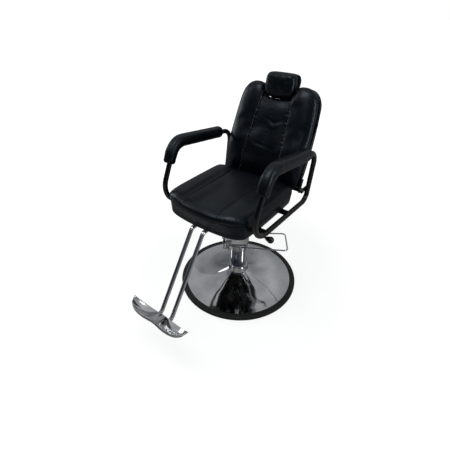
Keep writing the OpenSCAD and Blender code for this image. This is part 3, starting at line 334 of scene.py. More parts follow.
def metal(name, tones, sheen, patches, wave_mm=0.0, waves=40, fine_mm=0.0):
    """Bare metal: colour and roughness vary in so many patches to the metre, over long waves and a fine grain
    where they are given."""
    mat, tree, shader, where = base_material(name, Metallic=1.0)
    mottle(tree, shader, where, tones, sheen, patches, patches * 2.3)
    under = relief(tree, shader, where, wave_mm, waves, 1) if wave_mm else None
    if fine_mm:
        relief(tree, shader, where, fine_mm, METAL_GRAIN, 2, 0.7, under)
    return mat


def moulded(name, tones, sheen, fine_mm, fine, coat=0.0):
    """Moulded or painted surface: colour and sheen vary softly over a skin of fine bumps to the metre."""
    mat, tree, shader, where = base_material(name, Coat_Weight=coat, Coat_Roughness=0.12)
    mottle(tree, shader, where, tones, sheen, patches=14, clouds=35)
    relief(tree, shader, where, fine_mm, fine, 2, 0.6)
    return mat


def spun_chrome():
    """Chrome on spun steel: a mirror, clouded a little in patches, with the faintest grain."""
    mat, tree, shader, where = base_material("spun_steel_chromed", Metallic=1.0)
    mottle(tree, shader, where, ("#c4c6c8", "#e4e5e6"), (0.03, 0.08), patches=7, clouds=7, detail=3)
    relief(tree, shader, where, 0.006, METAL_GRAIN, 2, 0.5)
    return mat


def polished_aluminium():
    """Cast aluminium polished by hand: broad waves under a fine grain."""
    mat, tree, shader, where = base_material("aluminium_cast_polished", Metallic=1.0)
    mottle(tree, shader, where, ("#cdcfd1", "#f0f1f1"), (0.12, 0.20), patches=24, clouds=50)
    broad = relief(tree, shader, where, 0.2, 16, 1, 0.6)
    relief(tree, shader, where, 0.012, METAL_GRAIN, 2, 0.6, broad)
    return mat


def build_materials():
    """The finish of each material slot, and two more for the spun cover and the stitching."""
    return {
        # Calendered black vinyl, pebble grain, satin: nearly black, with a cool sheen where light grazes it
        "upholstery": vinyl("black_vinyl_embossed", ("#010408", "#04080f"), (0.28, 0.36)),
        # Skinned polyurethane foam, moulded: softer sheen and a finer skin than the vinyl
        "pad_foam": vinyl("black_polyurethane_moulded", ("#040709", "#090c0f"), (0.31, 0.40),
                          grain_mm=0.9, grain=0.05),
        # Bright chrome plate on polished tube: clean mirror with slight ripple from the draw
        "chrome": metal("steel_tube_chromed", ("#d4d6d8", "#eceded"), (0.035, 0.07),
                        patches=6, wave_mm=0.02, waves=30),
        # Chrome plate on the spun cover: a mirror, clouded a little in patches
        "dome": spun_chrome(),
        # Moulded black rubber: dull, slightly grey in patches
        "rubber": moulded("black_rubber_moulded", ("#090a0a", "#121414"), (0.45, 0.62),
                          fine_mm=0.08, fine=500),
        # Gloss powder coat on steel: black, with a faint orange peel
        "black_steel": moulded("steel_powder_coated_gloss", ("#030405", "#060708"), (0.20, 0.30),
                               fine_mm=0.015, fine=320, coat=0.3),
        # Sand-cast iron under paint: dark and coarse
        "cast": moulded("cast_iron_painted", ("#2b2d2f", "#3a3c3e"), (0.45, 0.60), fine_mm=0.30, fine=260),
        # Zinc-plated fasteners: grey, softly bright
        "zinc": metal("steel_zinc_plated", ("#9a9da0", "#b9bcbe"), (0.22, 0.36), patches=60, fine_mm=0.02),
        # Ground steel: a darker grey, with a soft shine
        "steel": metal("steel_ground", ("#8d9092", "#adb0b2"), (0.20, 0.34), patches=50, fine_mm=0.02),
        # Sintered bronze: brown and dull
        "bronze": metal("bronze_sintered", ("#8a6a3c", "#a98850"), (0.34, 0.46), patches=50, fine_mm=0.03),
        # Zinc-alloy die casting, plated: a bright boxy head with soft highlights
        "head_casting": metal("zinc_die_casting_plated", ("#c4c6c8", "#e2e3e4"), (0.05, 0.13),
                              patches=26, wave_mm=0.5, waves=45, fine_mm=0.01),
        # Turned aluminium collar: pale, with a soft shine
        "pale_aluminium": metal("aluminium_turned", ("#c6c8c9", "#e0e1e1"), (0.20, 0.32),
                                patches=30, fine_mm=0.015),
        # Cast aluminium, polished by hand: broad waves that break up its reflections
        "cast_aluminium": polished_aluminium(),
        # Plywood coloured near black as painted shade of the underside: dull, so that the chrome below
        # mirrors a dark underside
        "plywood": moulded("birch_plywood_near_black_shade", ("#141414", "#1d1c1b"), (0.6, 0.75),
                           fine_mm=0.15, fine=160),
        # Acrylonitrile butadiene styrene (ABS), moulded in a polished tool: glossy black
        "black_plastic": moulded("black_abs_moulded", ("#070808", "#0c0d0e"), (0.12, 0.22),
                                 fine_mm=0.03, fine=500, coat=0.4),
        # Beige polyester thread, twisted: matt
        "thread": moulded("beige_polyester_thread", ("#8a857a", "#a39e92"), (0.55, 0.70),
                          fine_mm=0.15, fine=1500),
    }


# ---------- seat ----------

SEAT_HALF, SEAT_NOSE, SEAT_REAR = 236.0, -350.0, 118.0  # half width, front of the middle, rear
SEAM_X, CROWN_Z = 101.0, 640.0  # seams between the panels, height where the crown starts
WELT_R = 2.5

# The welt's line, then the rings from the crown down round the boxing and under the board: how far each is
# drawn in at the sides and set back at the front, how far it has turned from the crown's outline to the
# board's, and its height
WELT_LINE = (1.6, 1.0, 0.03, 634.4)
SEAT_RINGS = [
    (0.5, 0.3, 0.02, 637.2), (2.6, 1.6, 0.03, 635.2), (4.2, 2.6, 0.03, 633.6), (2.6, 1.6, 0.05, 632),
    (0.9, 0.5, 0.08, 630), (0.3, 0.1, 0.14, 626), (0.4, 0, 0.3, 616), (1.2, 0, 0.5, 605),
    (2.2, 0, 0.7, 594), (2.9, 0, 0.85, 584), (3.6, -0.4, 0.93, 575), (5, -1.2, 0.97, 566),
    (6.2, -1.8, 1, 558.2), (7, -1.2, 1, 555.9), (12, 4, 1, 555.7), (20, 12, 1, 555.7),
    (20, 12, 1, 556.6), (12, 4, 1, 556.6), (7.6, -0.4, 1, 557.4), (7.6, -0.4, 1, 571)]


def seat_plan(s, t, side, front, k):
    """x = s (h - side) with h = 236 (1 - lerp(.05, .04, k) (1 - t)^9 - .015 t^6), and y from the bowed nose,
    set back by front, to the rear."""
    half = SEAT_HALF * (1 - lerp(0.05, 0.04, k) * (1 - t) ** 9 - 0.015 * t ** 6)
    nose = SEAT_NOSE + 21 * k + lerp(50, 24, k) * s * s + lerp(16, 26, k) * np.abs(s) ** 9
    return s * (half - side), lerp(nose + front, SEAT_REAR - side, t)


def seat_ring(s, t, side, front, k, z):
    """A level of the seat at height z."""
    x, y = seat_plan(s, t, side, front, k)
    return np.stack([x, y, np.broadcast_to(z, x.shape)], -1)


def seat_crown(s, t):
    """Points of the crown and their edge: z = 640 + edge (26 + 8 panel), with edge = shoulder(s, 7)
    shoulder(2t - 1, 9 or 14), sunk along the seams, with small gathers there and at the front corners."""
    near = SEAM_X / SEAT_HALF
    edge = shoulder(s, 7) * shoulder(2 * t - 1, np.where(t < 0.5, 9, 14))
    past = np.maximum(0, np.abs(s) - near) / (1 - near)
    panel = np.where(np.abs(s) < near, np.cos(math.pi / 2 * s / near), np.sin(math.pi * past ** 0.8))
    x, y = seat_plan(s, t, 0, 0, 0)
    off = np.abs(x) - SEAM_X
    z = CROWN_Z + edge * (26 + 8 * panel * shoulder(2 * t - 1, 4))
    around = np.arctan2(y + 110, x) * 230
    corner = np.clip(np.abs(s) * 1.3 - 0.45, 0, 1) * np.clip(1.2 - 2.4 * t, 0.15, 1)
    rim = np.maximum(bell(t, 0.045), bell(1 - np.abs(s), 0.05))
    z += 1.1 * rim * corner * ripple(around, [(11, 0.7), (17, 0.8), (29, 0.5)], 3)
    gather = bell(off, 9) * (0.35 + 0.9 * bell(t, 0.10))
    z += 0.7 * gather * ripple(y, [(13, 0.8), (21, 0.7), (34, 0.5)], 5)
    z += (1.2 * edge * ripple(x + 0.6 * y, [(210, 0.6), (130, 0.4)], 7)
          * ripple(y - 0.3 * x, [(260, 0.7), (150, 0.4)], 8))
    z -= 2.6 * bell(off, 1.6) * edge
    return np.stack([x, y, z], -1), edge


def make_seat(mats):
    """Seat upholstery with its piped welt: three sewn panels over a boxing, its hem under the board."""
    half = spaced(52, (SEAM_X / SEAT_HALF, 0.02, 5.0), (1.0, 0.09, 2.2))
    s, t = np.meshgrid(np.concatenate([-half[:0:-1], half]), spaced(92, (0.0, 0.045, 3.0), (1.0, 0.03, 2.5)))
    crown, edge = seat_crown(s, t)
    rings = [seat_ring(s, t, *ring) for ring in SEAT_RINGS]
    points, faces = closed_slab(crown, rings, rings[-1])
    freedom = front_freedom(points, between_seams(edge, np.abs(crown[..., 0]) - SEAM_X, t))
    points = puff(points, faces, freedom, cap=9.0, pressure=3.0, slack=0.012)
    seat = piece("seat_upholstery", points, faces, "seat", mats["upholstery"], 1)
    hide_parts("seat_cushion")
    line = seat_ring(s, t, *WELT_LINE).reshape(-1, 3)[rim_of(*s.shape)]
    welt, welt_faces = tube(line, WELT_R, 10, True)
    piping = piece("seat_piping", welt, np.array(welt_faces), "seat", mats["upholstery"])


# ---------- back ----------

# Heights up the back: the notch that the headrest stands in, the rise of its floor from the middle to the
# seams, the peak of the shoulders, and the lower edges of the front cushion and of the rear pad
NOTCH, DIP, PEAK, LOW, REAR_LOW = 412.0, 8.0, 486.0, -4.0, 20.0
SHOULDER_AT = 0.42  # place of the peak, from 0 at the seam to 1 at the side
BACK_HALF = 232.0

# Rings round each pad of the back, from its face to the board: how far drawn in, and the depth
FRONT_RINGS = [
    (0.6, 44.6), (2.6, 43.2), (3.6, 42.0), (2.6, 40.8), (1.0, 39.2), (0.8, 36), (1.4, 31), (2.6, 26.5),
    (4.2, 23.6), (6.0, 22.4), (12.4, 22.3), (12.4, 23.2), (12.4, 33.9)]
REAR_RINGS = [
    (-2.6, 0.8), (-1.2, 2.2), (-0.4, 3.4), (-1.2, 4.6), (-2.0, 6.4), (-1.4, 8.6), (1.0, 9.8), (6, 10.0)]

THREAD_PROFILE = [0.35, 0.55, 0.6, 0.6, 0.55, 0.35]  # radius along one stitch
STITCH, STITCH_STEP = 5.0, 8.0  # its length, and from one to the next


def back_half(u):
    """Half width of the back at a height u: it narrows above 180 mm and a little below 150 mm."""
    above, below = np.maximum(0, u - 180) / 300, np.maximum(0, 150 - u) / 150
    return BACK_HALF * (1 - 0.10 * above ** 1.8 - 0.05 * below ** 3)


def seam_x(u):
    """Where the seam between the middle and a side panel lies at a height u."""
    return 85 + 0.082 * (NOTCH - u)


def back_top(w):
    """Top of the back: a shallow dip over the middle, then a shoulder that peaks and falls to the edge."""
    low, high = NOTCH + 2 + DIP, np.clip(w, 0, 1)
    dip = NOTCH + 2 + DIP * (1 + np.clip(w, -1, 0)) ** 2
    before = np.clip(1 - high / SHOULDER_AT, 0, 1)
    past = np.clip((high - SHOULDER_AT) / (1 - SHOULDER_AT), 0, 1)
    rise = low + (PEAK - low) * np.sqrt(1 - before ** 3)
    fall = NOTCH - 14 + (PEAK - NOTCH + 14) * np.sqrt(1 - past ** 2.4)
    return np.where(w <= 0, dip, np.where(w < SHOULDER_AT, rise, fall))


def back_plan(k, t, grow, low_u=LOW):
    """Half width and height for a column k, from -1 at the middle through 0 at the seam to 1 at the edge."""
    out = np.maximum(k, 0)
    wall = 0.006 * min(grow, 0) * np.clip(1 - k / SHOULDER_AT, 0, 1)
    u = lerp(low_u - grow / 2 + 10 * out ** 4, back_top(k + wall) + grow * lerp(0.6, 1, out), t)
    return np.where(k <= 0, (1 + k) * seam_x(u), lerp(seam_x(u), back_half(u) + grow, out)), u


def back_grid(cols_mid, cols_side, rows, seam_density=5.0):
    """Signed columns and rows, close together at the seams and the rim."""
    mid = -1 + spaced(cols_mid, (1.0, 0.05, seam_density))
    side = spaced(cols_side, (0.0, 0.035, seam_density), (1.0, 0.08, 2.5))[1:]
    half = np.concatenate([mid, side])
    t_list = spaced(rows, (0.0, 0.03, 2.5), (1.0, 0.045, 3.0))
    k, t = np.meshgrid(np.concatenate([half[:0:-1], half]), t_list)
    sign = np.meshgrid(np.concatenate([-np.ones(len(half) - 1), np.ones(len(half))]), t_list)[0]
    return k, t, sign


def back_front(k, t, x, u):
    """n = lerp(46, 71 + 11 panel + lumbar, edge), with the valley of the seam and its small gathers."""
    out = np.maximum(k, 0)
    edge = shoulder(out, 6) * shoulder(2 * t - 1, np.where(t > 0.5, 9, 12))
    panel = np.where(k < 0, 0.35 * np.sin(-math.pi / 2 * np.minimum(k, 0)), np.sin(math.pi * out ** 0.75))
    lumbar = 9 * bell(u - 165, 75) - 17 * bell(np.maximum(0, u - REAR_LOW), 55)
    n = lerp(46, 71 + 11 * panel + lumbar, edge)
    off = np.abs(x) - seam_x(u)
    n -= 2.8 * bell(off, 1.8) * edge
    n += 0.8 * bell(off, 10) * edge * ripple(u, [(12, 0.7), (19, 0.8), (31, 0.6)], 11)
    n += (edge * 1.6 * ripple(x - 0.8 * u, [(190, 0.6), (110, 0.35)], 13)
          * ripple(u + 0.4 * x, [(240, 0.7), (140, 0.5)], 14))
    rim = np.maximum(bell(1 - t, 0.03), bell(1 - np.abs(k), 0.05))
    n += 0.8 * rim * ripple(u + 0.7 * np.abs(x), [(13, 0.6), (22, 0.8)], 15)
    return n, edge


def back_creases(x, u):
    """Two soft creases in the middle panel, each a ridge and a furrow: a wide V over a slanting fold."""
    fold = u - (167 - 0.14 * x)
    crease = u - (286 + 0.42 * np.abs(x - 24))
    return (bell(x + 10, 46) * (1.7 * bell(fold + 10, 11) - 1.5 * bell(fold - 5, 8))
            + bell(x - 20, 40) * (1.8 * bell(crease + 13, 12) - 2.0 * bell(crease - 5, 9)))


def back_level(k, t, sign, inset, n, low_u=LOW):
    """A ring of the back drawn in by inset at a depth n."""
    x, u = back_plan(k, t, -inset, low_u)
    return in_back(sign * x, n, u)


def make_back_front(mats):
    """Front cushion of the back: three panels wrapped round the board, with their stitching."""
    k, t, sign = back_grid(24, 34, 112)
    x, u = back_plan(k, t, 0)
    x = sign * x
    n, edge = back_front(k, t, x, u)
    rings = [back_level(k, t, sign, inset, depth) for inset, depth in FRONT_RINGS]
    points, faces = closed_slab(in_back(x, n, u), rings, back_level(k, t, sign, 12.4, 34.0))
    freedom = front_freedom(points, between_seams(edge, np.abs(x) - seam_x(u), t))
    points = puff(points, faces, freedom, cap=6.0, pressure=4.0, slack=0.004, stiff=15.0, rounds=24)
    surface = points[:k.size].reshape(k.shape + (3,))
    surface += back_creases(x, u)[..., None] * BACK_FORWARD
    cushion = piece("back_upholstery", points, faces, "back", mats["upholstery"], 1)
    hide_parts("back_cushion")
    stitch_back(surface, k, sign, mats)


def make_back_rear(mats):
    """Rounded pad behind the board: depth = -1 - 12.5 round_off, its skin in shallow waves."""
    k, t, sign = back_grid(10, 26, 60, 0.5)
    x, u = back_plan(k, t, 0, REAR_LOW)
    round_off = shoulder(np.maximum(k, 0), 4) * shoulder(2 * t - 1, 9)
    depth = -1 - 12.5 * round_off
    depth += 0.8 * round_off * ripple(sign * x + u, [(170, 0.6), (90, 0.4)], 21)
    rear = back_level(k, t, sign, -3, depth, REAR_LOW)
    rings = [back_level(k, t, sign, inset, level, REAR_LOW) for inset, level in REAR_RINGS]
    points, faces = closed_slab(rear, rings, back_level(k, t, sign, 12, 10.0, REAR_LOW))
    pad = piece("back_rear_upholstery", points, faces, "back", mats["upholstery"], 1)
    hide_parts("back_rear_pad")


def stitch_back(surface, k, sign, mats):
    """Dashes of 5 mm thread every 8 mm, lying on the side panel 3 mm out from each seam, their ends sunk."""
    points, faces = [], []
    for side in (-1, 1):
        column = np.argmin(np.abs(k[0] - 0.022) + 9 * (sign[0] != side))
        line = surface[:, column]
        far = np.concatenate([[0], np.cumsum(np.linalg.norm(np.diff(line, axis=0), axis=1))])
        for start in np.arange(14, far[-1] - 12, STITCH_STEP):
            stations = start + np.linspace(0, STITCH, len(THREAD_PROFILE))
            along = np.stack([np.interp(stations, far, line[:, axis]) for axis in range(3)], -1)
            along += BACK_FORWARD
            along[[0, -1]] -= 0.9 * BACK_FORWARD
            thread, thread_faces = tube(along, THREAD_PROFILE, 6)
            before = sum(map(len, points))
            faces += [[before + corner for corner in face] for face in thread_faces]
            points.append(thread)
    piece("back_stitching", np.concatenate(points), faces, "back", mats["thread"])


# ---------- headrest ----------

REST_W, REST_H, REST_TILT = 168.0, 122.0, math.radians(12)
REST_FORWARD, REST_UP = 13.0, 424.0  # the posts at its lower edge, forward of the pivot and up the back

# Rings round each pad of the headrest, from its face to the board: how far drawn in, and the depth
REST_FRONT_RINGS = [
    (0.5, 28.6), (2.4, 27.4), (3.2, 26.3), (2.4, 25.2), (0.6, 23.8), (0.1, 20), (0.3, 16), (0.9, 12.5),
    (2.2, 9.6), (4.5, 7.9), (10.8, 7.5), (10.8, 17.9)]
REST_REAR_RINGS = [
    (2.6, -5), (1.6, -3.6), (0.8, -1.8), (0.4, 0.4), (0.6, 2.4), (1.6, 4.4), (3.6, 5.7), (10.8, 6.0)]


def in_rest(x, n, v):
    """Point of the headrest's own directions: v up from its lower edge and n forward of its posts, tipped
    forward by REST_TILT."""
    ahead = REST_FORWARD + n * math.cos(REST_TILT) + v * math.sin(REST_TILT)
    return in_back(x, ahead, REST_UP + v * math.cos(REST_TILT) - n * math.sin(REST_TILT))


def rest_level(s, t, inset, n, wide=0.0):
    """A ring of the headrest at a depth n, s and t from -1 to 1: a rounded oblong, its top wider by wide."""
    x = s * (REST_W / 2 - inset) * (1 + wide * np.maximum(0, t + 0.4) / 1.4) * np.sqrt(1 - 0.26 * t ** 4)
    return in_rest(x, n, REST_H / 2 + t * (REST_H / 2 - inset) * np.sqrt(1 - 0.22 * s ** 4))


def rest_grid():
    """s across and t up, both from -1 to 1, close together at the rim."""
    steps = 2 * spaced(64, (0.0, 0.05, 2.5), (1.0, 0.05, 2.5)) - 1
    return np.meshgrid(steps, steps)


def make_rest_front(mats):
    """Front pad of the headrest, closed over the front half of the board: n = lerp(30, 66, crown) with
    crown = shoulder(s, 5) shoulder(t, 5)."""
    s, t = rest_grid()
    crown = shoulder(s, 5) * shoulder(t, 5)
    n = lerp(30, 66, crown) + 0.8 * crown * ripple(80 * s + 60 * t, [(80, 0.7), (47, 0.5)], 31)
    rim = np.maximum(bell(1 - np.abs(s), 0.07), bell(1 - np.abs(t), 0.09))
    n += 0.25 * rim * ripple(np.arctan2(60 * t, 80 * s) * 66, [(15, 0.6), (26, 0.8)], 32)
    rings = [rest_level(s, t, inset, depth) for inset, depth in REST_FRONT_RINGS]
    points, faces = closed_slab(rest_level(s, t, 0, n), rings, rest_level(s, t, 10.8, 18.0))
    free = crown ** 0.7 * (1 - bell(1 - np.abs(s), 0.02)) * (1 - bell(1 - np.abs(t), 0.02))
    points = puff(points, faces, front_freedom(points, free), cap=3.0, pressure=3.0, slack=-0.006, stiff=12.0)
    front = piece("headrest_upholstery", points, faces, "headrest", mats["upholstery"], 1)
    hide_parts("headrest_cushion")


def make_rest_rear(mats):
    """Rear pad of the headrest, wider towards its top and let down by 6.5 mm at its lower edge:
    n = -6 - 44 shoulder(s, 4) shoulder(t, 2.4)."""
    s, t = rest_grid()
    levels = [(3, -6 - 44 * shoulder(s, 4) * shoulder(t, 2.4))] + REST_REAR_RINGS + REST_REAR_RINGS[-1:]
    drop = 6.5 * bell(t + 1, 0.5)[..., None] * (in_rest(0, 0, 1) - in_rest(0, 0, 0))
    grids = [rest_level(s, t, inset, depth, 0.12) - drop for inset, depth in levels]
    points, faces = closed_slab(grids[0], grids[1:-1], grids[-1])
    rear = piece("headrest_rear_upholstery", points, faces, "headrest", mats["upholstery"], 1)
    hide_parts("headrest_rear_pad")


# ---------- arm pads ----------

PAD_X, PAD_HALF_W, PAD_HALF_H, PAD_LIFT = 264.0, 29.0, 30.0, 4.0
PAD_POST, PAD_BEND_R, PAD_TOP = 44.0, 80.0, 292.0  # length up the post, bend, length along the top
PAD_BORE_R = 13.1  # the loop's tube runs in it
PAD_SIDES = 40


def pad_path(q):
    """Stations along the pad's middle line in the YZ plane, q from 0 to 1: up the front post, round the bend
    and along the top. Gives the points, their directions, their distance along it and the bend's length."""
    foot, corner, rear_end = np.array([[-330, 555], [-183, 856.0], [266.9, 796]])
    up = (corner - foot) / np.linalg.norm(corner - foot)
    rear = (rear_end - corner) / np.linalg.norm(rear_end - corner)
    turn = math.acos(up @ rear)
    start = corner - up * PAD_BEND_R * math.tan(turn / 2)
    middle = start + PAD_BEND_R * np.array([up[1], -up[0]])
    arc = PAD_BEND_R * turn
    d = (PAD_POST + arc + PAD_TOP) * q
    angle = np.clip((d - PAD_POST) / PAD_BEND_R, 0, turn)
    cos, sin = np.cos(angle), np.sin(angle)

    def spin(v):
        """A direction turned by the angle of each station."""
        return np.stack([v[0] * cos + v[1] * sin, -v[0] * sin + v[1] * cos], -1)

    line = middle + spin(start - middle)
    line -= up * np.maximum(0, PAD_POST - d)[:, None]
    line += rear * np.maximum(0, d - PAD_POST - arc)[:, None]
    return line, spin(up), d, arc


def make_arm_pad(name, side, mats):
    """Pad swept along the loop: section x = c 29 k, h = 30 s k + 4 with powers .8 of cosine and sine, and k
    rounding both ends. Its bore holds the loop's tube."""
    q = spaced(110, (0.0, 0.02, 6.0), (1.0, 0.02, 6.0), (0.29, 0.12, 0.8))
    line, along, d, arc = pad_path(q)
    normal = np.stack([-along[:, 1], along[:, 0]], -1)

    def swept(across, up):
        """Points that far across and up from the middle line at each station."""
        y, z = line[:, :1] + normal[:, :1] * up, line[:, 1:] + normal[:, 1:] * up
        return np.stack([np.broadcast_to(PAD_X * side + across, y.shape), y, z], -1)

    b = np.linspace(0, 2 * math.pi, PAD_SIDES, endpoint=False)
    end = np.minimum(d, d[-1] - d)
    k = 0.70 + 0.30 * np.sqrt(1 - np.clip(1 - end / 13, 0, 1) ** 2) - 0.07 * (1 - q) ** 6
    c = np.sign(np.cos(b)) * np.abs(np.cos(b)) ** 0.8
    s = np.sign(np.sin(b)) * np.abs(np.sin(b)) ** 0.8
    under = np.where(s < 0, 1 - 0.12 * s * s, 1)
    x = np.outer(k, c * PAD_HALF_W * under)
    h = np.outer(k, s * PAD_HALF_H) + PAD_LIFT
    bend = np.clip((d - (PAD_POST - 20)) / 30, 0, 1) * np.clip((PAD_POST + arc + 30 - d) / 30, 0, 1)
    inner = np.clip(-s, 0, 1) ** 1.5
    crease = ripple(d, [(8.5, 0.6), (13, 0.9), (21, 0.5)], 41 + side)
    h += np.outer(bend * crease, inner) * 0.9
    skin = np.outer(ripple(d, [(34, 0.5), (61, 0.6)], 43 + side), 0.5 + 0.5 * np.abs(np.sin(3 * b)))
    h += 0.35 * skin * np.sign(s)
    x += 0.35 * skin * np.sign(c)
    outer, inside = swept(x, h), swept(PAD_BORE_R * np.cos(b), PAD_BORE_R * np.sin(b))
    points = np.concatenate([outer.reshape(-1, 3), inside.reshape(-1, 3)])
    grid = wrapped(np.arange(x.size).reshape(x.shape))
    bore = grid + x.size
    ends = [quads(np.stack([bore[0], grid[0]])), quads(np.stack([grid[-1], bore[-1]]))]
    faces = np.concatenate([quads(grid), quads(bore)[:, ::-1]] + ends)
    pad = piece(name, points, faces, "seat", mats["pad_foam"], 1)
    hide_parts("arm_pad_left" if side > 0 else "arm_pad_right")


# ---------- base cover and foot plate ----------

COVER_R, COVER_Z, COVER_T = 314.0, 17.0, 2.0  # radius and height of the rim, thickness of the sheet
HUB_R, HUB_HOLE, HUB_H = 66.0, 58.0, 74.0  # radius of the hub and of its hole, height of its top


def make_cover(mats):
    """Spun cover: z = 17 + 57 q^2.2 over q = (314 - r) / 248, turned round the column, its skin pulled in
    shallow waves."""
    q = spaced(90, (0.0, 0.03, 2.0), (1.0, 0.06, 2.0))
    r, z = lerp(COVER_R, HUB_R, q), COVER_Z + (HUB_H - COVER_Z) * q ** 2.2
    hub = [[HUB_R - 1.5, HUB_H], [HUB_HOLE, HUB_H], [HUB_HOLE, HUB_H - COVER_T]]
    profile = np.concatenate([np.stack([r, z], 1), hub, np.stack([r, z - COVER_T], 1)[::-1]])
    a = np.linspace(0, 2 * math.pi, 240, endpoint=False)
    radius, height = profile[:, :1], profile[:, 1:]
    calm = np.clip((COVER_R - radius) / 30, 0, 1) * np.clip((radius - HUB_R) / 40, 0, 1)
    waves = (ripple(a * 3 / (2 * math.pi), [(1.0, 0.5), (0.6, 0.4)], 61)
             * ripple(radius, [(150, 0.6), (85, 0.5)], 62))
    streaks = ripple(a * 20 / (2 * math.pi), [(2.0, 0.5), (1.25, 0.4), (20 / 23, 0.3)], 63)
    level = height + calm * (0.30 * waves + 0.10 * streaks)
    points = np.stack([radius * np.cos(a), radius * np.sin(a), level], -1)
    grid = np.arange(level.size).reshape(level.shape)
    faces = quads(wrapped(np.vstack([grid, grid[:1]])))
    cover = piece("base_cover_skin", points.reshape(-1, 3), faces, "base", mats["dome"])
    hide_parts("base_cover")


PLATE_W, PLATE_L, PLATE_RISE = 352.0, 78.0, math.radians(20)
PLATE_T, PLATE_LIP = 8.0, 13.0  # thickness at the rear and at the front lip
PLATE_REAR_Y, PLATE_REAR_Z = -600.0, 204.6
PLATE_FLAT = 62.5  # half width of the flat underside that rests on the bracket


def in_plate(p):
    """Turns the plate's own directions, x across, y up the slope and z out of its top, into the object's."""
    x, y, z = -p[..., 0], p[..., 1], p[..., 2]
    ahead = y * math.cos(PLATE_RISE) - z * math.sin(PLATE_RISE)
    height = PLATE_REAR_Z + y * math.sin(PLATE_RISE) + z * math.cos(PLATE_RISE)
    return np.stack([x, PLATE_REAR_Y - ahead, height], -1)


def plate_sheet(s, t, below, inset, drop=0.0):
    """One face of the plate in its own directions: a dished wing either side of a raised middle, with shallow
    flutes that fan from the tubes' end. It is drawn in by inset and let down by drop."""
    flute = 1.5 * shoulder(2 * t - 1, 6) * shoulder(s, 8) * np.cos(6 * np.arctan2(t + 0.25, s * 2.2))
    z = lerp(5 + 28 * np.abs(s) ** 4.5 + 4 * bell(s, 0.2), 16 * np.abs(s) ** 5 + 4 * bell(s, 0.3), t)
    z += flute - 8 * np.sin(math.pi * t) * shoulder(s, 6) * (1 - bell(s, 0.3))
    x = s * PLATE_W / 2 * (1 - 0.07 * t)
    y = lerp(7 + 28 * s ** 4, PLATE_L - 20 * np.abs(s) ** 5 - 4 * bell(s, 0.25), t)
    if below:
        depth = lerp(PLATE_T, PLATE_LIP, t ** 3) * (1 - 0.6 * s ** 8)
        z = np.where((np.abs(x) < PLATE_FLAT) & (t < 0.7), -PLATE_T, z - depth)
    x, y = x * (1 - inset / (PLATE_W / 2)), lerp(y, PLATE_L / 2, inset / (PLATE_L / 2))
    return np.stack([x, y, z - drop], -1)


def make_foot_plate(mats):
    """Foot plate: the cast wings with their rolled rim, as one closed form."""
    across = 2 * spaced(150, (0.0, 0.04, 2.0), (1.0, 0.04, 2.0)) - 1
    s, t = np.meshgrid(across, spaced(42, (0.0, 0.05, 2.0), (1.0, 0.05, 2.0)))
    rim = [plate_sheet(s, t, False, inset, drop) for inset, drop in ((1.5, 0.4), (0.6, 1.1), (0.0, 2.4))]
    rim.append(lerp(rim[-1], plate_sheet(s, t, True, 0.0), 0.5))
    rim += [plate_sheet(s, t, True, 0.3, -0.6), plate_sheet(s, t, True, 1.2)]
    top, under = plate_sheet(s, t, False, 2.6), plate_sheet(s, t, True, 2.2)
    points, faces = closed_slab(in_plate(top), [in_plate(ring) for ring in rim], in_plate(under))
    plate = piece("foot_plate_skin", points, faces, "seat", mats["cast_aluminium"])
    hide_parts("foot_plate")


# ---------- pump spring ----------

SPRING_TURNS, WIRE_R = 7, 0.8


def make_spring(mats):
    """Coil x = r cos a, y = r sin a, z = low + pitch a / 2 pi: seven turns of 1.6 mm wire round the plunger."""
    low, high = (np.array(corner) * 1000 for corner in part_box("plunger_spring"))
    middle = (low + high) / 2
    radius = (high[0] - low[0]) / 2 - WIRE_R
    a = np.linspace(0, 2 * math.pi * SPRING_TURNS, SPRING_TURNS * 28 + 1)
    start = math.radians(33)
    x, y = middle[0] + radius * np.cos(a + start), middle[1] + radius * np.sin(a + start)
    points, faces = tube(np.stack([x, y, lerp(low[2] + WIRE_R, high[2] - WIRE_R, a / a[-1])], -1), WIRE_R, 10)
    spring = piece("pump_spring", points, faces, "seat", mats["steel"])
    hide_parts("plunger_spring")
    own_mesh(spring)


# ---------- finishes of the CAD nodes ----------

def finish_nodes(mats):
    """Gives each CAD node the finish of its material slot."""
    slots = {part["node"]: part["material_slot"] for part in frame["record"]["subparts"]}
    for name, obj in frame["nodes"].items():
        if not obj.material_slots:
            obj.data.materials.append(None)
        for slot in obj.material_slots:
            slot.material = mats[slots[name]]


# ---------- light, floor, camera ----------

FLOOR = 30.0  # metres from the middle to a side
CAMERA_PLACE, CAMERA_AIM = (0.834341, -1.221257, 1.42348), (0, -0.1328, 0.4604)
CAMERA_ROLL = math.radians(-0.106)


def facing(place, aim):
    """Turn that points a lamp or camera at place towards aim, its top upwards."""
    return (Vector(aim) - Vector(place)).to_track_quat("-Z", "Y")


def area_light(name, place, aim, size, power):
    """A white soft box of size metres at place, turned to aim."""
    data = bpy.data.lights.new(name, "AREA")
    data.shape = "RECTANGLE"
    data.size, data.size_y = size
    data.energy = power
    lamp = bpy.data.objects.new(name, data)
    SCENE.collection.objects.link(lamp)
    lamp.location = place
    lamp.rotation_euler = facing(place, aim).to_euler()


def seen_directly(tree):
    """Gives two values: 1 for rays from the camera or through glass, and 1 for rays that metal reflects."""
    ray = node(tree, "ShaderNodeLightPath").outputs
    either = {0: ray["Is Camera Ray"], 1: ray["Is Transmission Ray"]}
    return node(tree, "ShaderNodeMath", either, operation="MAXIMUM").outputs[0], ray["Is Glossy Ray"]


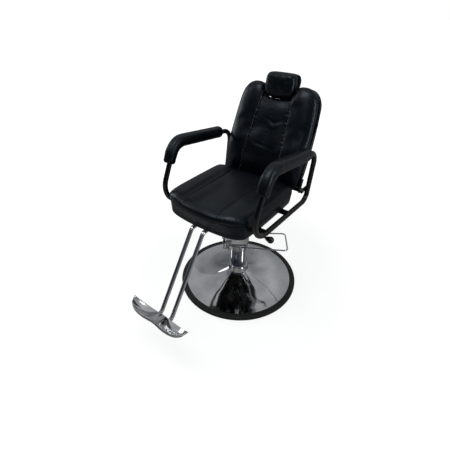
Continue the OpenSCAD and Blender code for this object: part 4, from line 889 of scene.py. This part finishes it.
def make_floor():
    """White floor that keeps the object's soft shadow; metal sees it as a darker, uneven grey."""
    mesh = bpy.data.meshes.new("floor")
    corners = [(-FLOOR, -FLOOR, 0), (FLOOR, -FLOOR, 0), (FLOOR, FLOOR, 0), (-FLOOR, FLOOR, 0)]
    mesh.from_pydata(corners, [], [(0, 1, 2, 3)])
    floor = bpy.data.objects.new("floor", mesh)
    SCENE.collection.objects.link(floor)
    mat, tree, shader, where = base_material("studio_floor", Roughness=0.9, Specular_IOR_Level=0.0,
                                             Emission_Color=(1, 1, 1, 1))
    tree.links.new(patchy(tree, where, ("#b0b0b0", "#b6b6b6"), 1.5), shader.inputs["Base Color"])
    direct, mirrored = seen_directly(tree)
    far = node(tree, "ShaderNodeVectorMath", {0: where}, operation="LENGTH").outputs["Value"]
    fade = {"Value": far, "From Min": 0.6, "From Max": 1.7, "To Min": 0.80, "To Max": 1.0}
    bright = node(tree, "ShaderNodeMapRange", fade).outputs["Result"]
    glow = node(tree, "ShaderNodeMath", {0: direct, 1: bright}, operation="MULTIPLY")
    tree.links.new(glow.outputs[0], shader.inputs["Emission Strength"])
    grey = node(tree, "ShaderNodeEmission", {"Strength": uneven(tree, where, (0.06, 0.34), 1.3, 2)})
    mixed = node(tree, "ShaderNodeMixShader", {0: mirrored, 1: shader.outputs[0], 2: grey.outputs[0]})
    tree.links.new(mixed.outputs[0], tree.nodes["Material Output"].inputs["Surface"])
    mesh.materials.append(mat)


def make_world():
    """White where the camera looks past the floor. For light and metal it is a grey room, dark in front and
    paler behind and above."""
    world = bpy.data.worlds.new("studio")
    SCENE.world = world
    world.use_nodes = True
    tree = world.node_tree
    tree.nodes.clear()
    where = node(tree, "ShaderNodeTexCoord").outputs["Generated"]
    parts = node(tree, "ShaderNodeSeparateXYZ", {"Vector": where}).outputs
    rear = node(tree, "ShaderNodeMath", {0: parts["Y"], 1: 0.5, 2: 0.5}, operation="MULTIPLY_ADD").outputs[0]
    high = node(tree, "ShaderNodeMath", {0: parts["Z"], 1: 0.45}, operation="MULTIPLY").outputs[0]
    level = node(tree, "ShaderNodeMath", {0: rear, 1: 0.55, 2: high}, operation="MULTIPLY_ADD").outputs[0]
    around = node(tree, "ShaderNodeValToRGB", {"Fac": level})
    stops = around.color_ramp.elements
    stops[0].position, stops[0].color = 0.15, (0.026, 0.032, 0.044, 1)
    stops[1].position, stops[1].color = 0.9, (0.38, 0.385, 0.39, 1)
    stops.new(0.5).color = (0.13, 0.137, 0.152, 1)
    strength = uneven(tree, where, (0.6, 1.5), 2.2, 2)
    room = node(tree, "ShaderNodeBackground", {"Color": around.outputs["Color"], "Strength": strength})
    white = node(tree, "ShaderNodeBackground", {"Color": (1, 1, 1, 1), "Strength": 1.0})
    direct = seen_directly(tree)[0]
    mixed = node(tree, "ShaderNodeMixShader", {0: direct, 1: room.outputs[0], 2: white.outputs[0]})
    node(tree, "ShaderNodeOutputWorld", {"Surface": mixed.outputs[0]})


def make_lamps():
    """A tall box to the right, two on the left, one in front, one overhead and a wide one behind."""
    area_light("right", (2.4, 0.0, 1.6), (0, 0, 0.7), (0.45, 1.9), 12)
    area_light("left", (-2.8, 0.1, 1.3), (0, -0.2, 0.6), (1.2, 1.2), 8)
    area_light("high_left", (-2.3, -1.1, 2.7), (0, -0.1, 0.7), (0.7, 0.7), 3.2)
    area_light("front", (0.9, -2.6, 2.9), (0, 0, 0.5), (0.4, 0.4), 0.9)
    area_light("above", (-0.2, -0.9, 3.0), (0, 0, 0.5), (1.2, 1.2), 12)
    area_light("rear_left", (-2.04, 0.75, 3.27), (0, -0.4, 0.3), (2.4, 2.4), 2)


def make_camera():
    """Camera at three quarter height, in front of the chair and to its own left."""
    data = bpy.data.cameras.new("camera")
    data.sensor_fit = "HORIZONTAL"
    data.sensor_width = 36.0
    data.lens = 26.0
    data.clip_start, data.clip_end = 0.05, 60
    camera = bpy.data.objects.new("camera", data)
    SCENE.collection.objects.link(camera)
    turn = facing(CAMERA_PLACE, CAMERA_AIM).to_matrix() @ Matrix.Rotation(CAMERA_ROLL, 3, "Z")
    camera.matrix_world = Matrix.Translation(CAMERA_PLACE) @ turn.to_4x4()
    SCENE.camera = camera


SCENE.view_settings.view_transform = "Standard"
materials = build_materials()
finish_nodes(materials)
make_seat(materials)
make_back_front(materials)
make_back_rear(materials)
make_rest_front(materials)
make_rest_rear(materials)
make_arm_pad("arm_pad_left_skin", 1, materials)
make_arm_pad("arm_pad_right_skin", -1, materials)
make_cover(materials)
make_foot_plate(materials)
make_spring(materials)
make_floor()
make_world()
make_lamps()
make_camera()
